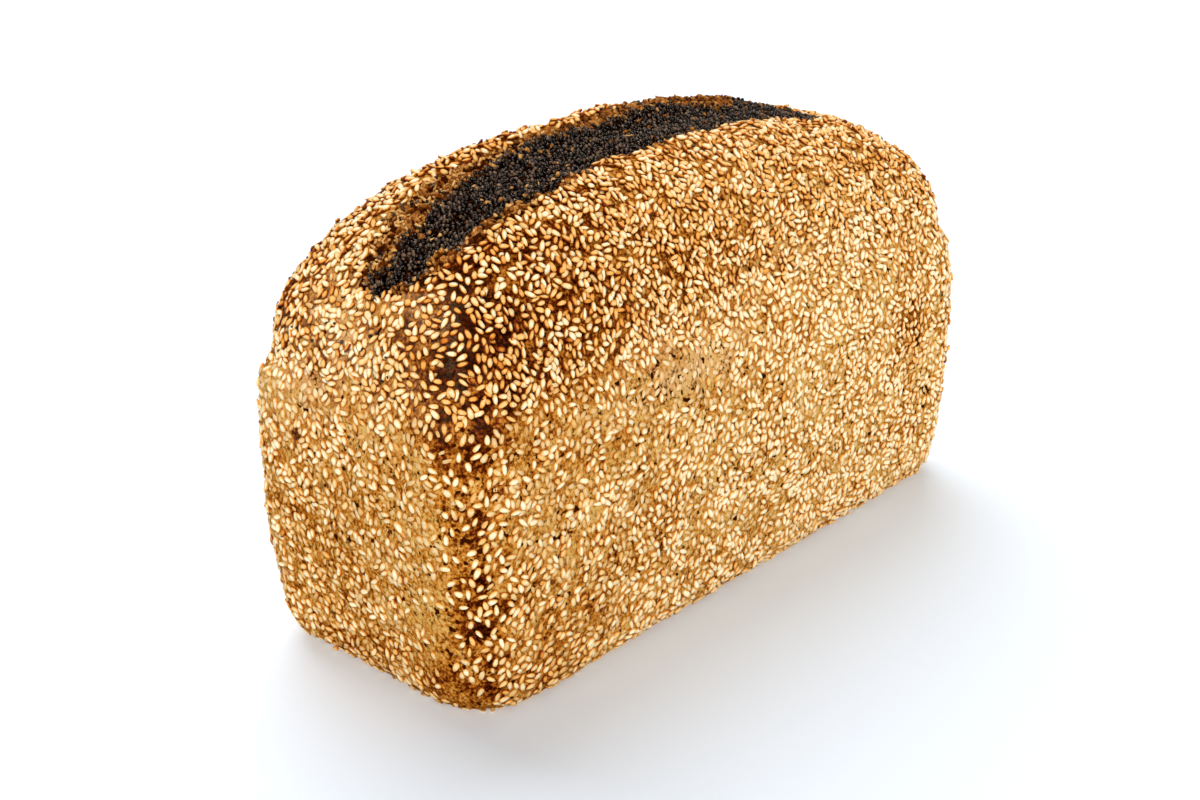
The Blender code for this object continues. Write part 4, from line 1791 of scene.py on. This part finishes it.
@dataclass(frozen=True)
class SesameFinish:
    """Hulled sesame, from cream on its crown to brown where it meets the crust: partly toast, partly a
    painted highlight on the crown and painted shade down the flanks to the foot.
    """

    # cream: the seed's own colour, made lighter on the crown as a painted highlight.
    cream: Colour = (0.95, 0.84, 0.56, 1.0)
    straw: Colour = (0.87, 0.58, 0.23, 1.0)
    amber: Colour = (0.83, 0.370, 0.066, 1.0)
    rust: Colour = (0.53, 0.135, 0.009, 1.0)
    # foot_shade: dark brown where the seed meets the crust, painted contact shade.
    foot_shade: Colour = (0.17, 0.023, 0.0014, 1.0)
    dough: Colour = (0.66, 0.375, 0.116, 1.0)
    flour: Colour = (0.84, 0.53, 0.265, 1.0)
    places: Row = (0.10, 0.32, 0.60, 0.85, 1.0)
    speck: float = 0.16
    tip_start: float = 0.45
    tip_share: float = 0.30
    # How deep the painted shade on the flanks goes, plainly and where the crust is roasted.
    flank_shade_shares: Row = (0.74, 0.80)
    crown_top: float = 0.97
    crown_power: float = 1.5
    brown_shares: Row = (0.85, 0.06)
    brownest: float = 1.25
    film_speck: float = 1.5
    film_share: float = 0.80
    roughness: float = 0.42
    gloss: float = 0.05
    grain: float = 0.0007
    bump: Row = (0.25, 0.0002)

    def material(self, group: bpy.types.NodeTree) -> bpy.types.Material:
        """Make the finish.

        Args:
            group: The fine grain group.

        Returns:
            The material.
        """
        make = Coat("sesame", self.roughness, self.gloss, group)
        fine = make.grain(self.grain)
        singe, speck = make.mask("singe"), make.swing(fine["Mask"], self.speck)
        tip = make.times(make.span(make.mask("seed_along"), self.tip_start, 1.0), self.tip_share)
        # Darker down the flanks towards the crust: painted shade, deeper where the crust is more roasted,
        # with toast browning added on top.
        flank_shade_depth = make.add(self.flank_shade_shares[0], make.times(singe, self.flank_shade_shares[1]))
        crown = make.math("MAXIMUM", make.mask("seed_crown"), 0.0)
        slope = make.math("SUBTRACT", self.crown_top, crown, clamp=True)
        low = make.times(make.math("POWER", slope, self.crown_power), flank_shade_depth)
        baked = zip((make.mask("toast"), singe), self.brown_shares)
        brown = make.add(*(make.times(mask, share) for mask, share in baked))
        level = make.add(make.add(low, tip), make.add(brown, speck))
        stops = tuple(zip(self.places, (self.cream, self.straw, self.amber, self.rust, self.foot_shade)))
        colour = make.ramp(make.span(level, 0.0, self.brownest), stops)
        film = make.add(make.mask("film"), make.times(speck, self.film_speck))
        dough = make.mix(make.mask("flour"), self.dough, self.flour)
        colour = make.mix(make.times(film, self.film_share, clamp=True), colour, dough)
        return make.done(colour, fine["Height"], self.bump)


@dataclass(frozen=True)
class PoppyFinish:
    """Poppy seed, nearly black, with some brown ones."""

    black: Colour = (0.0015, 0.0005, 0.0003, 1.0)
    slate: Colour = (0.045, 0.028, 0.018, 1.0)
    brown: Colour = (0.190, 0.110, 0.062, 1.0)
    roughness: float = 0.25
    gloss: float = 0.36
    sheen_tint: Colour = (1.0, 0.82, 0.68, 1.0)
    grain: float = 0.0004
    dust_share: float = 0.14
    bump: Row = (0.5, 0.0002)

    def material(self, group: bpy.types.NodeTree) -> bpy.types.Material:
        """Make the finish.

        Args:
            group: The fine grain group.

        Returns:
            The material.
        """
        make = Coat("poppy", self.roughness, self.gloss, group)
        make.shader.inputs["Specular Tint"].default_value = self.sheen_tint
        fine = make.grain(self.grain)
        stops = ((0.0, self.black), (0.46, self.black), (0.74, self.slate), (1.0, self.brown))
        dust = make.times(fine["Mask"], self.dust_share)
        colour = make.mix(dust, make.ramp(make.mask("toast"), stops), self.slate)
        return make.done(colour, fine["Height"], self.bump)


@dataclass(frozen=True)
class CrumbFinish:
    """Torn, golden dough."""

    straw: Colour = (0.80, 0.48, 0.180, 1.0)
    golden: Colour = (0.56, 0.250, 0.055, 1.0)
    brown: Colour = (0.26, 0.080, 0.012, 1.0)
    dark: Colour = (0.05, 0.010, 0.002, 1.0)
    roughness: float = 0.75
    gloss: float = 0.03
    grain: float = 0.0006
    speck: float = 0.4
    bump: Row = (0.5, 0.0003)

    def material(self, group: bpy.types.NodeTree) -> bpy.types.Material:
        """Make the finish.

        Args:
            group: The fine grain group.

        Returns:
            The material.
        """
        make = Coat("torn_crumb", self.roughness, self.gloss, group)
        fine = make.grain(self.grain)
        level = make.add(make.mask("toast"), make.swing(fine["Mask"], self.speck))
        stops = ((0.0, self.straw), (0.38, self.golden), (0.70, self.brown), (1.0, self.dark))
        return make.done(make.ramp(level, stops), fine["Height"], self.bump)


@dataclass(frozen=True)
class FloorFinish:
    """Plain white studio floor."""

    colour: Colour = (0.780, 0.880, 1.0, 1.0)
    roughness: float = 0.9
    glow: float = 0.36

    def material(self) -> bpy.types.Material:
        """Make the finish.

        Returns:
            The material.
        """
        make = Coat("studio_floor", self.roughness, 0.0, None)
        values = {"Base Color": self.colour, "Emission Color": WHITE, "Emission Strength": self.glow}
        for name, value in values.items():
            make.shader.inputs[name].default_value = value
        return make.material


class Reach(Enum):
    """What a light reaches, with the floor's link state for it."""

    ALL = ""
    LOAF_ALONE = "EXCLUDE"
    FLOOR_ALONE = "INCLUDE"


@dataclass(frozen=True)
class Lamp:
    """A soft, distant light.

    Attributes:
        name: The light's name.
        side: The direction that it comes from.
        spread: How wide it looks, in degrees.
        level: How brightly it lights a white sheet that faces it.
        reach: What it lights.
    """

    name: str
    side: Row
    spread: float
    level: float
    reach: Reach = Reach.ALL

    def build(self, floor: Piece) -> None:
        """Set up the light.

        Args:
            floor: The studio floor.
        """
        lamp = bpy.data.lights.new(self.name, "SUN")
        lamp.angle = math.radians(self.spread)
        lamp.energy = self.level * math.pi
        holder = place(self.name, lamp)
        holder.matrix_world = (-Vector(self.side)).to_track_quat("-Z", "Y").to_matrix().to_4x4()
        if self.reach is not Reach.ALL:
            linked = bpy.data.collections.new("linked_to_" + self.name)
            linked.objects.link(floor)
            linked.collection_objects[0].light_linking.link_state = self.reach.value
            holder.light_linking.receiver_collection = linked


@dataclass
class Studio:
    """Camera, floor and soft light."""

    camera_place: Row = (-0.36675, -0.32247, 0.25277)
    yaw: float = math.radians(-47.4)
    pitch: float = math.radians(22.9)
    roll: float = math.radians(0.8)
    focal_pixels: float = 1762.3
    frame_width: float = 1200.0
    sensor: float = 36.0
    clip: Row = (0.01, 100.0)
    floor_size: float = 60.0
    surround: float = 0.20
    lamps: tuple[Lamp, ...] = (
        Lamp("key", (-0.49, -0.70, 0.76), 6.0, 0.835, Reach.LOAF_ALONE),
        Lamp("fill", (-0.95, -0.05, 0.42), 30.0, 0.12),
        Lamp("back", (0.40, 0.58, 0.92), 24.0, 0.49, Reach.LOAF_ALONE),
        Lamp("below", (0.42, 0.67, 0.86), 58.0, 0.925, Reach.FLOOR_ALONE),
    )

    def camera(self) -> None:
        """Set up the camera."""
        flat = math.cos(self.pitch)
        ahead = Vector((-math.sin(self.yaw) * flat, math.cos(self.yaw) * flat, -math.sin(self.pitch)))
        right = Vector((math.cos(self.yaw), math.sin(self.yaw), 0.0))
        down = ahead.cross(right)
        rolled_right = right * math.cos(self.roll) + down * math.sin(self.roll)
        rolled_down = down * math.cos(self.roll) - right * math.sin(self.roll)
        lens = bpy.data.cameras.new("camera")
        lens.sensor_width = self.sensor
        lens.lens = self.sensor * self.focal_pixels / self.frame_width
        lens.clip_start, lens.clip_end = self.clip
        camera = place("camera", lens)
        turn = Matrix((rolled_right, -rolled_down, -ahead)).transposed().to_4x4()
        camera.matrix_world = Matrix.Translation(Vector(self.camera_place)) @ turn
        bpy.context.scene.camera = camera

    def floor(self) -> Piece:
        """Lay the studio floor.

        Returns:
            The floor.
        """
        half = self.floor_size / 2
        corners = [(x * half, y * half, 0) for x, y in ((-1, -1), (1, -1), (1, 1), (-1, 1))]
        mesh = bpy.data.meshes.new("floor")
        mesh.from_pydata(corners, [], [(0, 1, 2, 3)])
        mesh.materials.append(FloorFinish().material())
        floor = place("floor", mesh)
        return floor

    def build(self) -> None:
        """Make the whole studio."""
        self.camera()
        floor = self.floor()
        for lamp in self.lamps:
            lamp.build(floor)
        world = bpy.data.worlds.new("studio")
        world.use_nodes = True
        background = world.node_tree.nodes["Background"]
        background.inputs["Color"].default_value = WHITE
        background.inputs["Strength"].default_value = self.surround
        bpy.context.scene.world = world
        bpy.context.scene.view_settings.view_transform = "Standard"


def settle(piece: Piece) -> None:
    """Fix a finished piece to the loaf's body and report it.

    Args:
        piece: The piece, in place.
    """
    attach(piece, BODY)
    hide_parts(LOAF_NODE)
    triangles = sum(len(face.vertices) - 2 for face in piece.data.polygons)
    LOG.info("%s: %d triangles", piece.name, triangles)


def main() -> None:
    """Build the loaf and its studio."""
    logging.basicConfig(level=logging.INFO, format="%(message)s")
    random = np.random.default_rng(41)
    grain = grain_group()
    skin = CrustSkin(LoafForm(), CutBand(), Bake())
    settle(skin.build(CrustFinish().material(grain)))
    for piece in SesameCoat(skin, random).build(SesameFinish().material(grain)):
        settle(piece)
    settle(PoppyBand(skin, random).build(PoppyFinish().material(grain)))
    dough, crumb = TornDough(skin, random), CrumbFinish().material(grain)
    settle(dough.crumbs(crumb))
    settle(dough.threads(crumb))
    Studio().build()


if __name__ == "__main__":
    main()
